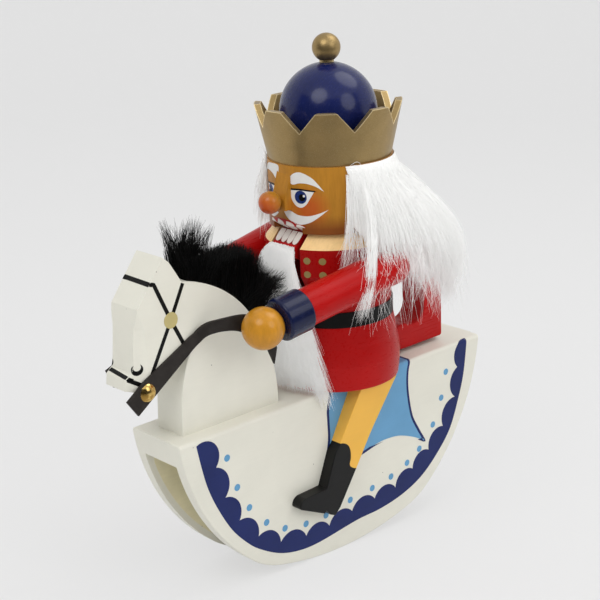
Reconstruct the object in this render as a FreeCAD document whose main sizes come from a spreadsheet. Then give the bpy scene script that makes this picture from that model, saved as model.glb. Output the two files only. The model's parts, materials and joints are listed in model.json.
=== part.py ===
"""A nutcracker king on a rocking horse: a table decoration of turned and sawn wood, in millimetres.

Horse frame: X points to the horse's left and Y to its tail, z = 0 is the top of the seat board
and y = 0 the middle of the rockers. The rest pose tips the horse nose down, to where it balances,
and stands it on the floor with the origin under the middle of its box.
"""
import FreeCAD, Part

import math
import os
import re

import Sketcher

Vector = FreeCAD.Vector
Placement = FreeCAD.Placement
Rotation = FreeCAD.Rotation

# Driving dimensions: millimetres and degrees. Each one is a cell of the sheet.
SIZES = {
    # how it stands
    "rest_tilt": 2.98, "middle_shift": 14.407,
    # rockers and seat board
    "rocker_depth": 112.5, "bottom_radius": 224.0, "corner_radius": 59.5, "end_radius": 141.7,
    "bottom_turn": 15.0, "corner_turn": 38.7, "panel_thickness": 8.0, "seat_half": 15.3,
    "seat_thickness": 16.0, "top_edge_round": 2.4, "panel_edge_round": 1.0,
    # horse
    "neck_half": 12.2, "head_edge_round": 0.7, "crest_radius": 76.6, "withers_radius": 102.7,
    "throat_radius": 90.0, "mane_thickness": 15.0, "mane_gap": 0.3,
    # reins
    "strap_gap": 0.1, "strap_thickness": 1.6, "strap_bend": 18.4, "strap_leaves_head": -116.0,
    "strap_at_hand": 29.1, "left_nail_y": -144.1, "left_nail_z": 35.2, "right_nail_y": -139.1,
    "right_nail_z": 43.5, "nail_head_radius": 5.5,
    "nail_head_height": 2.6, "nail_radius": 0.9, "nail_length": 9.0, "nail_point": 2.0,
    # rider, turned about one upright axis
    "rider_y": 17.36, "skirt_height": 41.5, "skirt_radius": 41.6, "skirt_bore": 28.0,
    "skirt_bore_depth": 30.0, "waist_radius": 36.8, "belt_top": 51.5, "belt_radius": 37.7,
    "chest_radius": 42.4, "collar_bottom": 93.5, "collar_radius": 35.0, "torso_top": 102.0,
    "head_radius": 39.4, "head_bottom": 102.5, "head_top": 144.5, "mouth_radius": 33.0,
    "mouth_top": 107.0, "mouth_angle": 38.5, "slot_half": 13.0, "glue_gap": 0.05,
    "nose_half": 6.0, "nose_ball_radius": 7.0, "nose_ball_y": -34.0, "nose_ball_z": 123.2,
    "nose_peg_radius": 2.0, "nose_peg_length": 18.0,
    # crown
    "crown_floor": 150.5, "crown_top": 178.0, "crown_bottom_radius": 38.6, "crown_top_radius": 46.0,
    "crown_inner_radius": 41.8, "crown_floor_radius": 35.7, "crown_teeth": 8, "notch_half": 11.3,
    "notch_depth": 12.5, "dome_radius": 30.7, "dome_centre": 171.4, "finial_centre": 210.9,
    "finial_radius": 8.8, "finial_neck_radius": 4.5, "finial_peg_radius": 2.5, "finial_peg_start": 191.0,
    # jaw lever
    "lever_half": 10.3, "pivot_y": 25.0, "pivot_z": 76.0, "pivot_radius": 2.5,
    "pivot_clearance": 0.06, "pivot_reach": 39.0, "lever_edge_round": 1.2, "lever_corner": 35.0,
    # arms, along their own axes
    "shoulder_x": 52.0, "shoulder_y": 17.0, "shoulder_z": 81.5, "hand_x": 43.5, "hand_y": -80.9,
    "hand_z": 64.6, "arm_radius": 11.7, "arm_length": 84.5, "cuff_start": 70.3, "cuff_end": 88.6,
    "cuff_radius": 13.25, "cuff_round": 2.0, "hand_radius": 12.75, "shoulder_dowel_start": 31.0,
    # legs
    "leg_thickness": 10.7, "boot_thickness": 8.0, "leg_edge_round": 0.6, "leg_top": -1.0,
    "taper_top": -34.9, "taper_end": -40.9,
    # dowels and screws: radii, and how deep they are set
    "seat_dowel_radius": 3.0, "seat_dowel_reach": 20.3, "leg_dowel_radius": 2.0,
    "leg_dowel_start": 18.3, "leg_dowel_length": 11.0, "neck_dowel_radius": 4.0,
    "neck_dowel_below": 12.0, "neck_dowel_above": 14.0, "torso_dowel_radius": 5.0,
    "torso_dowel_length": 17.5, "collar_dowel_radius": 3.0, "collar_dowel_start": 90.0,
    "collar_dowel_end": 114.0, "crown_dowel_radius": 4.0, "crown_dowel_start": 130.0,
    "crown_dowel_length": 35.5, "shoulder_dowel_radius": 3.0, "shoulder_dowel_length": 24.0,
    "wrist_dowel_radius": 2.5, "wrist_dowel_sunk": 9.0, "wrist_dowel_in_hand": 7.0,
    "screw_radius": 1.8, "screw_spread": 32.3, "screw_length": 32.0,
    # fur
    "hair_angle": 236.0, "hair_top": 143.8, "beard_start": 26.0, "beard_thickness": 10.0,
}

# Where the neck's rear edge meets the seat board, the withers, and the end of the crest at the poll.
NECK_FOOT, WITHERS, POLL = (-45, 0), (-65.8, 64.9), (-113.6, 94.1)

# Centres of dowels and screws: across and along the horse, or along it and up its side.
SEAT_DOWELS = [("-84", "-8"), ("-30", "-8"), ("30", "-8"), ("100", "-8")]
SIDES = (("left", 1), ("right", -1))
STRAP_FRONTS = {    # free end of each rein below and above its nail, (y, z)
    "left": ([(-151.9, 23.2)], [(-146.2, 42.5), (-159, 33.4)]),
    "right": ([(-149.3, 33.1), (-125, 43.2)], [(-134, 52.3), (-153.8, 44.7)])}
LEG_DOWELS = [("15", "-13"), ("-4", "-46")]
NECK_DOWELS = [("0", "-106"), ("0", "-62")]
COLLAR_DOWELS = [("-24", "6"), ("24", "6")]
SCREWS = [("0", "rider_y - screw_spread"), ("0", "rider_y + screw_spread")]
MIDDLE = [("0", "0")]

THROUGH = "60"  # longer than any piece that a cut goes right through
NEAR = 0.01     # an edge this near to a face lies on it

doc = FreeCAD.newDocument("rocking_horse")
sheet = doc.addObject("Spreadsheet::Sheet", "Sizes")
for row, (alias, amount) in enumerate(SIZES.items(), start=1):
    sheet.set(f"A{row}", alias)
    sheet.set(f"B{row}", str(amount))
    sheet.setAlias(f"B{row}", alias)
doc.recompute()

pieces = []


# ---------------------------------------------------------------- helpers

def number(text):
    """Value of a sum of sizes and numbers, such as 'crown_top - notch_depth'."""
    total = 0.0
    for term in str(text).replace(" ", "").replace("-", "+-").split("+"):
        name = term.lstrip("-")
        if name:
            value = SIZES[name] if name in SIZES else float(name)
            total += -value if term.startswith("-") else value
    return total


def bind(thing, name, text):
    """Ties a property to the sheet, where the text names a size."""
    if re.search("[a-z]", str(text)):
        thing.setExpression(name, re.sub("([a-z_]+)", r"Sizes.\1", text))


def towards(sign, text):
    """A sum of sizes counted towards the horse's left (sign 1) or right (sign -1)."""
    if sign > 0:
        return text
    terms = text.replace(" ", "").replace("-", "+-").split("+")
    return " + ".join(term[1:] if term.startswith("-") else "-" + term for term in terms if term)


def rest_pose():
    """Where the horse frame lies when the horse stands still on the floor."""
    tilt = number("rest_tilt")
    hub = number("bottom_radius - rocker_depth")
    lift = number("bottom_radius") - hub * math.cos(math.radians(tilt))
    return Placement(Vector(0, number("middle_shift"), lift), Rotation(Vector(1, 0, 0), tilt))


def at(x, y, z, axis=Vector(0, 0, 1)):
    """A place in the horse frame, with the local Z along the axis."""
    return Placement(Vector(number(x), number(y), number(z)), Rotation(Vector(0, 0, 1), axis))


def turned(degrees):
    """A turn about the local Z axis."""
    return Placement(Vector(), Rotation(Vector(0, 0, 1), degrees))


def keep(piece, label):
    """Names a finished piece and stands it in the rest pose."""
    piece.Label = label
    piece.Placement = rest_pose() * piece.Placement
    pieces.append(piece)
    return piece


def new_body(label, place=Placement(), finished=True):
    body = doc.addObject("PartDesign::Body", label)
    body.Label = label
    body.Placement = place
    return keep(body, label) if finished else body


def rider(label):
    """A body whose Z axis is the rider's own, measured from the seat board."""
    return new_body(label, at("0", "rider_y", "0"))


def origin_part(body, role):
    return next(part for part in body.Origin.OriginFeatures if part.Role == role)


def new_sketch(body, role, height="0"):
    """A sketch on the body's own origin plane, raised along the plane's normal."""
    sketch = body.newObject("Sketcher::SketchObject", "Sketch")
    sketch.AttachmentSupport = (origin_part(body, role), [""])
    sketch.MapMode = "FlatFace"
    sketch.AttachmentOffset = Placement(Vector(0, 0, number(height)), Rotation())
    bind(sketch, "AttachmentOffset.Base.z", height)
    return sketch


def fix_point(sketch, edge, end, across, up):
    """Ties one point of an edge to the sketch's axes."""
    for text, kind, axis in ((across, "DistanceX", -2), (up, "DistanceY", -1)):
        value = number(text)
        if value == 0:
            sketch.addConstraint(Sketcher.Constraint("PointOnObject", edge, end, axis))
        else:
            index = sketch.addConstraint(Sketcher.Constraint(kind, -1, 1, edge, end, value))
            bind(sketch, f"Constraints[{index}]", text)


def arc_between(start, end, radius):
    """Arc of less than half a turn; a positive radius turns left on the way from start to end."""
    chord = end - start
    half = chord.Length / 2
    left = Vector(-chord.y, chord.x, 0).normalize() * math.copysign(1, radius)
    centre = (start + end) / 2 + left * math.sqrt(radius * radius - half * half)
    ends = (start, end) if radius > 0 else (end, start)
    first, last = (math.atan2(point.y - centre.y, point.x - centre.x) for point in ends)
    circle = Part.Circle(centre, Vector(0, 0, 1), abs(radius))
    return Part.ArcOfCircle(circle, first, last + (math.tau if last < first else 0))


def outline(sketch, points):
    """Closed outline. A point's third value is the radius of the arc that arrives at it."""
    corners = [Vector(number(point[0]), number(point[1]), 0) for point in points]
    ends = []
    for index, point in enumerate(points):
        start, end = corners[index - 1], corners[index]
        if len(point) == 2:
            edge = sketch.addGeometry(Part.LineSegment(start, end), False)
            ends.append((edge, 1, 2))
        else:
            radius = number(point[2])
            edge = sketch.addGeometry(arc_between(start, end, radius), False)
            ends.append((edge, 1, 2) if radius > 0 else (edge, 2, 1))
    for (edge, _, last), (following, first, _), point in zip(ends, ends[1:] + ends[:1], points):
        sketch.addConstraint(Sketcher.Constraint("Coincident", edge, last, following, first))
        fix_point(sketch, edge, last, point[0], point[1])
    return sketch


def circles(sketch, radius, centres):
    """Equal circles about the centres."""
    for across, up in centres:
        middle = Vector(number(across), number(up), 0)
        edge = sketch.addGeometry(Part.Circle(middle, Vector(0, 0, 1), number(radius)), False)
        fix_point(sketch, edge, 3, across, up)
        index = sketch.addConstraint(Sketcher.Constraint("Radius", edge, number(radius)))
        bind(sketch, f"Constraints[{index}]", radius)
    return sketch


def extrude(body, sketch, length, kind="Pad", middle=False, back=False):
    """Pad or pocket of a sketch."""
    feature = body.newObject("PartDesign::" + kind, kind)
    feature.Profile = sketch
    feature.Length = number(length)
    bind(feature, "Length", length)
    feature.SideType = "Symmetric" if middle else "One side"
    feature.Reversed = back
    return feature


def drill(body, role, height, radius, centres, length, back=True):
    """Round holes that start at a height above a plane of the body and run along its normal."""
    holes = circles(new_sketch(body, role, height), radius, centres)
    return extrude(body, holes, length, "Pocket", back=back)


def drill_out(body, sign, start, radius, centres, length):
    """Round holes that start beside the horse's middle and run out to its left or right."""
    return drill(body, "YZ_Plane", towards(sign, start), radius, centres, length, back=sign > 0)


def turn(body, points, kind="Revolution", angle="360"):
    """Solid, or groove, turned about the body's own Z axis."""
    sketch = outline(new_sketch(body, "XZ_Plane"), points)
    feature = body.newObject("PartDesign::" + kind, kind)
    feature.Profile = sketch
    feature.ReferenceAxis = (sketch, ["V_Axis"])
    feature.Angle = number(angle)
    bind(feature, "Angle", angle)
    feature.Midplane = number(angle) < 360
    return feature


def soften(body, radius, wanted):
    """Rounds the edges of the body that pass the test."""
    doc.recompute()
    base = body.Tip
    names = []
    for index, edge in enumerate(base.Shape.Edges, start=1):
        middle = edge.valueAt((edge.FirstParameter + edge.LastParameter) / 2)
        if wanted(edge, middle):
            names.append(f"Edge{index}")
    fillet = body.newObject("PartDesign::Fillet", "Fillet")
    fillet.Base = (base, names)
    fillet.Radius = number(radius)
    bind(fillet, "Radius", radius)


def rod(radius, length, place):
    """Plain round rod; its Z axis starts at the place."""
    piece = doc.addObject("Part::Cylinder", "Rod")
    piece.Radius = number(radius)
    bind(piece, "Radius", radius)
    piece.Height = number(length)
    bind(piece, "Height", length)
    piece.Placement = place
    return piece


def group(label, members):
    """Identical fasteners that share one name."""
    compound = doc.addObject("Part::Compound", label)
    compound.Links = members
    keep(compound, label)


# ---------------------------------------------------------------- rockers and seat board

def rocker_curve():
    """Middle of the rocker's end arc, and the joints between its arcs from the bottom up."""
    bottom, corner, end = number("bottom_radius"), number("corner_radius"), number("end_radius")
    hub = Vector(0, bottom - number("rocker_depth"), 0)
    joints = []
    for angle, radius, following in (("bottom_turn", bottom, corner), ("corner_turn", corner, end)):
        swung = math.radians(number(angle))
        out = Vector(math.sin(swung), -math.cos(swung), 0)
        joints.append(hub + out * radius)
        hub = hub + out * (radius - following)
    return hub, joints


def rocker_reach(height):
    """Half-length of the rocker at a height near its top."""
    hub, _ = rocker_curve()
    return hub.x + math.sqrt(number("end_radius") ** 2 - (height - hub.y) ** 2)


def make_panel(side, sign):
    """Rocker panel: one of the two sawn sides that the horse rocks on."""
    _, (low, high) = rocker_curve()
    reach = rocker_reach(0)
    body = new_body(side + "_rocker_panel")
    sketch = outline(new_sketch(body, "YZ_Plane", towards(sign, "seat_half")), [
        (-reach, 0), (-high.x, high.y, "end_radius"), (-low.x, low.y, "corner_radius"),
        (low.x, low.y, "bottom_radius"), (high.x, high.y, "corner_radius"), (reach, 0, "end_radius")])
    extrude(body, sketch, "panel_thickness", back=sign < 0)
    drill_out(body, sign, "seat_half - 1", "seat_dowel_radius", SEAT_DOWELS,
              "seat_dowel_reach - seat_half + 1")
    drill_out(body, sign, "leg_dowel_start", "leg_dowel_radius", LEG_DOWELS, "panel_thickness")
    outer = number("seat_half + panel_thickness")
    soften(body, "top_edge_round",
           lambda edge, middle: abs(abs(middle.x) - outer) < NEAR and abs(middle.z) < NEAR)
    soften(body, "panel_edge_round",
           lambda edge, middle: abs(abs(middle.x) - outer) < NEAR and edge.Length > 30 and middle.z < -5)


def make_seat_board():
    """Seat board between the panels; its ends follow the rockers' curve."""
    body = new_body("seat_board")
    top_reach, low_reach = rocker_reach(0), rocker_reach(-number("seat_thickness"))
    sketch = outline(new_sketch(body, "YZ_Plane"), [
        (-top_reach, 0), (-low_reach, "-seat_thickness", "end_radius"), (low_reach, "-seat_thickness"),
        (top_reach, 0, "end_radius")])
    extrude(body, sketch, "seat_half + seat_half", middle=True)
    drill(body, "YZ_Plane", "-seat_dowel_reach", "seat_dowel_radius", SEAT_DOWELS, THROUGH)
    drill(body, "XY_Plane", "-neck_dowel_below", "neck_dowel_radius", NECK_DOWELS, "neck_dowel_below")
    drill(body, "XY_Plane", "-seat_thickness", "screw_radius", SCREWS, "seat_thickness")


def make_seat_dowels():
    """Dowels that run through the seat board into both panels."""
    group("seat_dowels", [
        rod("seat_dowel_radius", "seat_dowel_reach + seat_dowel_reach",
            at("-seat_dowel_reach", y, z, Vector(1, 0, 0))) for y, z in SEAT_DOWELS])


# ---------------------------------------------------------------- horse

def make_horse_head():
    """Neck and head of the horse, sawn from one board, with the muzzle tapered on both sides."""
    body = new_body("horse_neck_and_head")
    sketch = outline(new_sketch(body, "YZ_Plane"), [
        (-121.8, 107.7), (-126.4, 111.6), (-146.6, 85.2), (-148.5, 73), (-150.4, 53.5), (-151.6, 48),
        (-156.2, 45.2), (-156.9, 38.5), (-149.8, 36.4), (-145, 32), (-139, 34.3), (-126, 43.8),
        (-106.5, 57.5), (-111.5, 50), (-119.6, 18, "throat_radius"), (-120.4, 0), NECK_FOOT,
        (*WITHERS, "withers_radius"), (*POLL, "crest_radius"), (-118, 101.5)])
    extrude(body, sketch, "neck_half + neck_half", middle=True)
    taper_muzzle(body)
    drill(body, "XY_Plane", "0", "neck_dowel_radius", NECK_DOWELS, "neck_dowel_above")
    for side, sign in SIDES:
        drill_out(body, sign, "neck_half - nail_length", "nail_radius",
                  [(side + "_nail_y", side + "_nail_z")], "nail_length")
    side = number("neck_half")
    soften(body, "head_edge_round",
           lambda edge, middle: abs(abs(middle.x) - side) < NEAR and middle.z > 1 and edge.Length > 3
           and edge.Curve.TypeId == "Part::GeomLine" and not (middle.y < -127 and middle.z > 86))


def taper_muzzle(body):
    """Cuts the face narrower from the brow down to the nose, the same on both sides."""
    outside, front = number("neck_half") + 0.05, -160
    sections = []
    for height, side_y, reach in (
            (85.5, -146.7, 12.2), (73, -142.5, 5.8), (55, -140.7, 7.5), (28, -146, 8.9)):
        section = new_sketch(body, "XY_Plane", str(height))
        sections.append(outline(section, [(outside, side_y), (reach, front), (15, front), (15, side_y)]))
    taper = body.newObject("PartDesign::SubtractiveLoft", "MuzzleTaper")
    taper.Profile = sections[0]
    taper.Sections = sections[1:]
    taper.Ruled = True
    doc.recompute()
    other_side = body.newObject("PartDesign::Mirrored", "OtherSide")
    other_side.Originals = [taper]
    other_side.MirrorPlane = (origin_part(body, "YZ_Plane"), [""])
    body.Tip = other_side


def above_crest(y):
    """Point at a distance y along the horse, just above the crest of the neck."""
    hub = arc_between(Vector(*WITHERS), Vector(*POLL), number("crest_radius")).Center
    return y, hub.y + math.sqrt(number("crest_radius + mane_gap") ** 2 - (y - hub.x) ** 2)


def make_mane():
    """Fur glued along the crest: an upright tuft at the poll and the mane behind it."""
    crest = "crest_radius + mane_gap"
    for label, points in (
            ("horse_forelock", [(*above_crest(-113.2), crest), (-117.6, 102), (-119, 108), (-120, 122),
                                (-115, 131), (-99, 124), (-86, 124), (-93, 106), above_crest(-102)]),
            ("horse_mane", [(*above_crest(-100.8), crest), (-92.5, 104), (-73, 105), (-55, 99), (-49, 88),
                            (-44.5, 78), (-44, 62), (-57.5, 53), above_crest(-65.1)])):
        body = new_body(label)
        extrude(body, outline(new_sketch(body, "YZ_Plane"), points), "mane_thickness", middle=True)


def make_neck_dowels():
    """Dowels that stand in the seat board and hold the neck."""
    group("neck_dowels", [
        rod("neck_dowel_radius", "neck_dowel_below + neck_dowel_above", at(x, y, "-neck_dowel_below"))
        for x, y in NECK_DOWELS])


# ---------------------------------------------------------------- reins

def strap_plan():
    """Plan of the left strap: flat on the head, an S bend outwards, then level with the hand."""
    thick, bend = number("strap_thickness"), number("strap_bend")
    near, finish = number("neck_half + strap_gap"), number("strap_at_hand")
    leaves, front, back = number("strap_leaves_head"), -165, -55
    swung = math.acos(1 - (finish - near) / 2 / bend)
    inner, outer = bend + thick / 2, bend - thick / 2
    hub = near + inner
    meet_in = (hub - inner * math.cos(swung), leaves + inner * math.sin(swung))
    meet_out = (hub - outer * math.cos(swung), leaves + outer * math.sin(swung))
    straight = leaves + 2 * bend * math.sin(swung)
    return [(near, front), (near + thick, front), (near + thick, leaves), (*meet_out, -outer),
            (finish + thick, straight, inner), (finish + thick, back), (finish, back), (finish, straight),
            (*meet_in, -outer), (near, leaves, inner)]


def make_rein(side, sign):
    """Leather strap from the muzzle to the rider's hand, its end hanging free."""
    below, above = STRAP_FRONTS[side]
    body = new_body(side + "_rein")
    plan = [(sign * x, y, *(sign * radius for radius in arc)) for x, y, *arc in strap_plan()]
    extrude(body, outline(new_sketch(body, "XY_Plane", "15"), plan), "65")
    waste = new_sketch(body, "YZ_Plane")
    outline(waste, [(-170, 10), (-50, 10), (-50, 90), (-170, 90)])
    outline(waste, [
        *below, (-113.6, 49.8), (-106, 57.2), (-99, 62.6, "-16"), (-88, 61.4, "-16"), (-76, 56),
        (-68, 47.5, "-16"), (-62.3, 34.2), (-59.8, 44), (-64, 56), (-74, 66, "12"), (-86, 71.3, "24"),
        (-98, 70.2, "26"), (-109, 62.2, "26"), (-117.5, 57), *above])
    extrude(body, waste, "90", "Pocket", middle=True)
    drill_out(body, sign, "neck_half - 1", "nail_radius", [(side + "_nail_y", side + "_nail_z")], "5")


def make_rein_nail(side, sign):
    """Domed brass nail that holds the rein to the muzzle."""
    outside = towards(sign, "neck_half + strap_gap + strap_thickness")
    body = new_body(side + "_rein_nail", at(outside, side + "_nail_y", side + "_nail_z", Vector(sign, 0, 0)))
    reach, height = number("nail_head_radius"), number("nail_head_height")
    dome = (reach ** 2 + height ** 2) / (2 * height)
    turn(body, [(0, "-nail_length"), ("nail_radius", "nail_point - nail_length"), ("nail_radius", 0),
                ("nail_head_radius", 0), (0, "nail_head_height", dome)])


# ---------------------------------------------------------------- rider's body

def make_skirt():
    """Skirt of the coat, resting on the seat board, hollowed from below to save weight."""
    body = rider("coat_skirt")
    turn(body, [(0, 0), (39.6, 0), (40.4, 0.8, 0.8), ("skirt_radius", 16.4, 115),
                (39.9, 28, 60), ("waist_radius + 0.6", "skirt_height", 90), (0, "skirt_height")])
    drill(body, "XY_Plane", "0", "skirt_bore", MIDDLE, "skirt_bore_depth")
    drill(body, "XY_Plane", "0", "torso_dowel_radius", MIDDLE, "skirt_height")
    drill(body, "XY_Plane", "0", "screw_radius", [("0", "-screw_spread"), ("0", "screw_spread")],
          "screw_length - seat_thickness + 1")


def make_torso():
    """Coat body, slotted from front to back for the jaw lever."""
    body = rider("coat_torso")
    turn(body, [(0, "skirt_height"), ("waist_radius", "skirt_height"), ("waist_radius", 56),
                ("chest_radius", 76, -42), ("chest_radius", "collar_bottom"),
                ("collar_radius", "torso_top"), (0, "torso_top")])
    slot = outline(new_sketch(body, "YZ_Plane"), [
        (-50, 71.5), (50, 48.8), (50, 82.1), (-11, 104), (-11, 112), (-50, 112)])
    extrude(body, slot, "slot_half + slot_half", "Pocket", middle=True)
    drill(body, "YZ_Plane", "-pivot_reach - 1", "pivot_radius", [("pivot_y - rider_y", "pivot_z")],
          "pivot_reach + pivot_reach + 2")
    drill(body, "XY_Plane", "skirt_height", "torso_dowel_radius", MIDDLE,
          "skirt_bore_depth + torso_dowel_length - skirt_height")
    drill(body, "XY_Plane", "collar_dowel_start", "collar_dowel_radius", COLLAR_DOWELS, THROUGH)
    for sign in (1, -1):
        drill_out(body, sign, "shoulder_dowel_start", "shoulder_dowel_radius",
                  [("shoulder_y - rider_y", "shoulder_z")], "shoulder_dowel_length")


def make_belt():
    """Black belt: a band glued round the waist above the skirt."""
    bottom, inside = "skirt_height + 0.2", "waist_radius + glue_gap"
    turn(rider("coat_belt"), [(inside, bottom), ("belt_radius", bottom), ("belt_radius", "belt_top"),
                              (inside, "belt_top")])


def make_rider_head():
    """Turned head, bevelled over the mouth for the upper teeth."""
    body = rider("rider_head")
    turn(body, [(0, "head_bottom"), ("head_radius - 0.6", "head_bottom"),
                ("head_radius", "head_bottom + 0.6", 0.6), ("head_radius", "head_top"), (0, "head_top")])
    clear_y, clear_z = "-head_radius - 3", "head_bottom - 2"
    bevel = outline(new_sketch(body, "YZ_Plane"), [
        ("-mouth_radius", "head_bottom"), ("-mouth_radius", clear_z), (clear_y, clear_z),
        (clear_y, "mouth_top"), ("-head_radius", "mouth_top")])
    groove = body.newObject("PartDesign::Groove", "MouthBevel")
    groove.Profile = bevel
    groove.ReferenceAxis = (bevel, ["V_Axis"])
    groove.Angle = number("mouth_angle")
    bind(groove, "Angle", "mouth_angle")
    groove.Midplane = True
    drill(body, "XY_Plane", "head_bottom - 1", "collar_dowel_radius", COLLAR_DOWELS,
          "collar_dowel_end - head_bottom + 1")
    drill(body, "XY_Plane", "crown_dowel_start", "crown_dowel_radius", MIDDLE,
          "head_top - crown_dowel_start + 1")
    nose_hole = circles(new_sketch(body, "XZ_Plane", "20"), "nose_peg_radius", [("0", "nose_ball_z")])
    extrude(body, nose_hole, "30", "Pocket", back=True)


def make_nose():
    """Nose: a flat wedge on the face and a turned ball pegged through it."""
    body = new_body("nose_bridge")
    wedge = outline(new_sketch(body, "YZ_Plane"), [
        (-15, 144.3), (-20.3, 144.3), (-23.1, 135.8), (-26.7, 124), (-26.9, 117.3), (-15, 117.3)])
    extrude(body, wedge, "nose_half + nose_half", middle=True)
    drill(body, "XY_Plane", "110", "head_radius", [("0", "rider_y")], THROUGH)
    peg = circles(new_sketch(body, "XZ_Plane", "10"), "nose_peg_radius", [("0", "nose_ball_z")])
    extrude(body, peg, "30", "Pocket", back=True)
    ball = new_body("nose_ball", at("0", "nose_ball_y", "nose_ball_z", Vector(0, -1, 0)))
    peg_root = -math.sqrt(number("nose_ball_radius") ** 2 - number("nose_peg_radius") ** 2)
    turn(ball, [(0, "-nose_peg_length"), ("nose_peg_radius", "-nose_peg_length"),
                ("nose_peg_radius", peg_root), ("nose_ball_radius", 0, "nose_ball_radius"),
                (0, "nose_ball_radius", "nose_ball_radius")])


# ---------------------------------------------------------------- crown

def make_crown_ring():
    """Turned ring with sawn teeth; the dome stands on its floor."""
    half_notch = 180 / number("crown_teeth")
    ring = new_body("crown_ring", at("0", "rider_y", "0") * turned(half_notch))
    turn(ring, [(0, "head_top"), ("crown_bottom_radius", "head_top"), ("crown_top_radius", "crown_top"),
                ("crown_inner_radius", "crown_top"), ("crown_floor_radius", "crown_floor"),
                (0, "crown_floor")])
    above = "crown_top + notch_depth"
    notch = outline(new_sketch(ring, "YZ_Plane"), [
        ("-notch_half", "crown_top"), (0, "crown_top - notch_depth"), ("notch_half", "crown_top"),
        ("notch_half", above), ("-notch_half", above)])
    cut = extrude(ring, notch, THROUGH, "Pocket", back=True)
    teeth = ring.newObject("PartDesign::PolarPattern", "Teeth")
    teeth.Originals = [cut]
    teeth.Axis = (origin_part(ring, "Z_Axis"), [""])
    teeth.Angle = 360
    teeth.Occurrences = int(number("crown_teeth"))
    ring.Tip = teeth
    drill(ring, "XY_Plane", "crown_dowel_start", "crown_dowel_radius", MIDDLE, THROUGH)


def make_crown_dome():
    """Turned dome inside the crown."""
    dome = rider("crown_dome")
    flat = number("crown_floor")
    rim = math.sqrt(number("dome_radius") ** 2 - (flat - number("dome_centre")) ** 2)
    turn(dome, [(0, flat), (rim, flat), ("dome_radius", "dome_centre", "dome_radius"),
                (0, "dome_centre + dome_radius", "dome_radius")])
    drill(dome, "XY_Plane", "crown_dowel_start", "crown_dowel_radius", MIDDLE, "crown_dowel_length")
    drill(dome, "XY_Plane", "finial_peg_start", "finial_peg_radius", MIDDLE, "20")


def make_crown_finial():
    """Turned ball, neck and peg on top of the dome."""
    dome_top = number("dome_centre + dome_radius")
    ball, neck = number("finial_radius"), number("finial_neck_radius")
    ball_root = number("finial_centre") - math.sqrt(ball ** 2 - neck ** 2)
    turn(rider("crown_finial"), [
        (0, "finial_peg_start"), ("finial_peg_radius", "finial_peg_start"), ("finial_peg_radius", dome_top),
        ("finial_neck_radius", dome_top), ("finial_neck_radius", ball_root),
        ("finial_radius", "finial_centre", "finial_radius"),
        (0, "finial_centre + finial_radius", "finial_radius")])


# ---------------------------------------------------------------- jaw lever

def make_jaw_lever():
    """Jaw, lever arm and foot, sawn from one board and pivoted in the coat."""
    body = new_body("jaw_lever")
    sketch = outline(new_sketch(body, "YZ_Plane"), [
        (-15.8, 102.2), (-23.9, 94.4), (-23.9, 88.2), (-20, 85.5), (25, 66.5), (53, 55), (72.5, 55),
        (90.5, 37, -18), (90.5, 28), (80.7, 18.2, -9.8), (79.24, 18.2), (73.66, 19.57, -12),
        (60.55, 11.65, 8.95), (69.5, 2.7, 8.95), (106.2, 2.7), (108.2, 4.7, 2), (108.2, 37),
        (73.2, 72, "lever_corner"), (56, 72), (25, 87), (8, 102.2)])
    extrude(body, sketch, "lever_half + lever_half", middle=True)
    drill(body, "YZ_Plane", "-pivot_reach", "pivot_radius + pivot_clearance", [("pivot_y", "pivot_z")],
          THROUGH)
    half = number("lever_half")
    soften(body, "lever_edge_round",
           lambda edge, middle: abs(abs(middle.x) - half) < NEAR and middle.y > 58)


def make_pivot_pin():
    """Pin that the jaw lever swings on, glued into the coat."""
    place = at("-pivot_reach", "pivot_y", "pivot_z", Vector(1, 0, 0))
    keep(rod("pivot_radius", "pivot_reach + pivot_reach", place), "pivot_pin")


# ---------------------------------------------------------------- arms

def arm_axis(sign):
    """Shoulder centre, direction of the arm and distance to the hand."""
    shoulder = Vector(sign * number("shoulder_x"), number("shoulder_y"), number("shoulder_z"))
    hand = Vector(sign * number("hand_x"), number("hand_y"), number("hand_z"))
    return shoulder, (hand - shoulder).normalize(), (hand - shoulder).Length


def make_arm(side, sign):
    """Turned sleeve, rounded at the shoulder and cut to sit against the chest."""
    shoulder, along, _ = arm_axis(sign)
    blank = new_body(side + "_sleeve_blank", at(*shoulder, along), finished=False)
    turn(blank, [(0, "-arm_radius"), ("arm_radius", 0, "arm_radius"), ("arm_radius", "arm_length"),
                 (0, "arm_length")])
    drill(blank, "XY_Plane", "arm_length - wrist_dowel_sunk", "wrist_dowel_radius", MIDDLE,
          "wrist_dowel_sunk")
    chest = rod("chest_radius", THROUGH, at("0", "rider_y", "skirt_height"))
    dowel = rod("shoulder_dowel_radius", "shoulder_dowel_length",
                at(towards(sign, "shoulder_dowel_start"), "shoulder_y", "shoulder_z", Vector(sign, 0, 0)))
    tool = doc.addObject("Part::MultiFuse", "ChestAndDowel")
    tool.Shapes = [chest, dowel]
    sleeve = doc.addObject("Part::Cut", side + "_sleeve")
    sleeve.Base = blank
    sleeve.Tool = tool
    keep(sleeve, side + "_sleeve")


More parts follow.
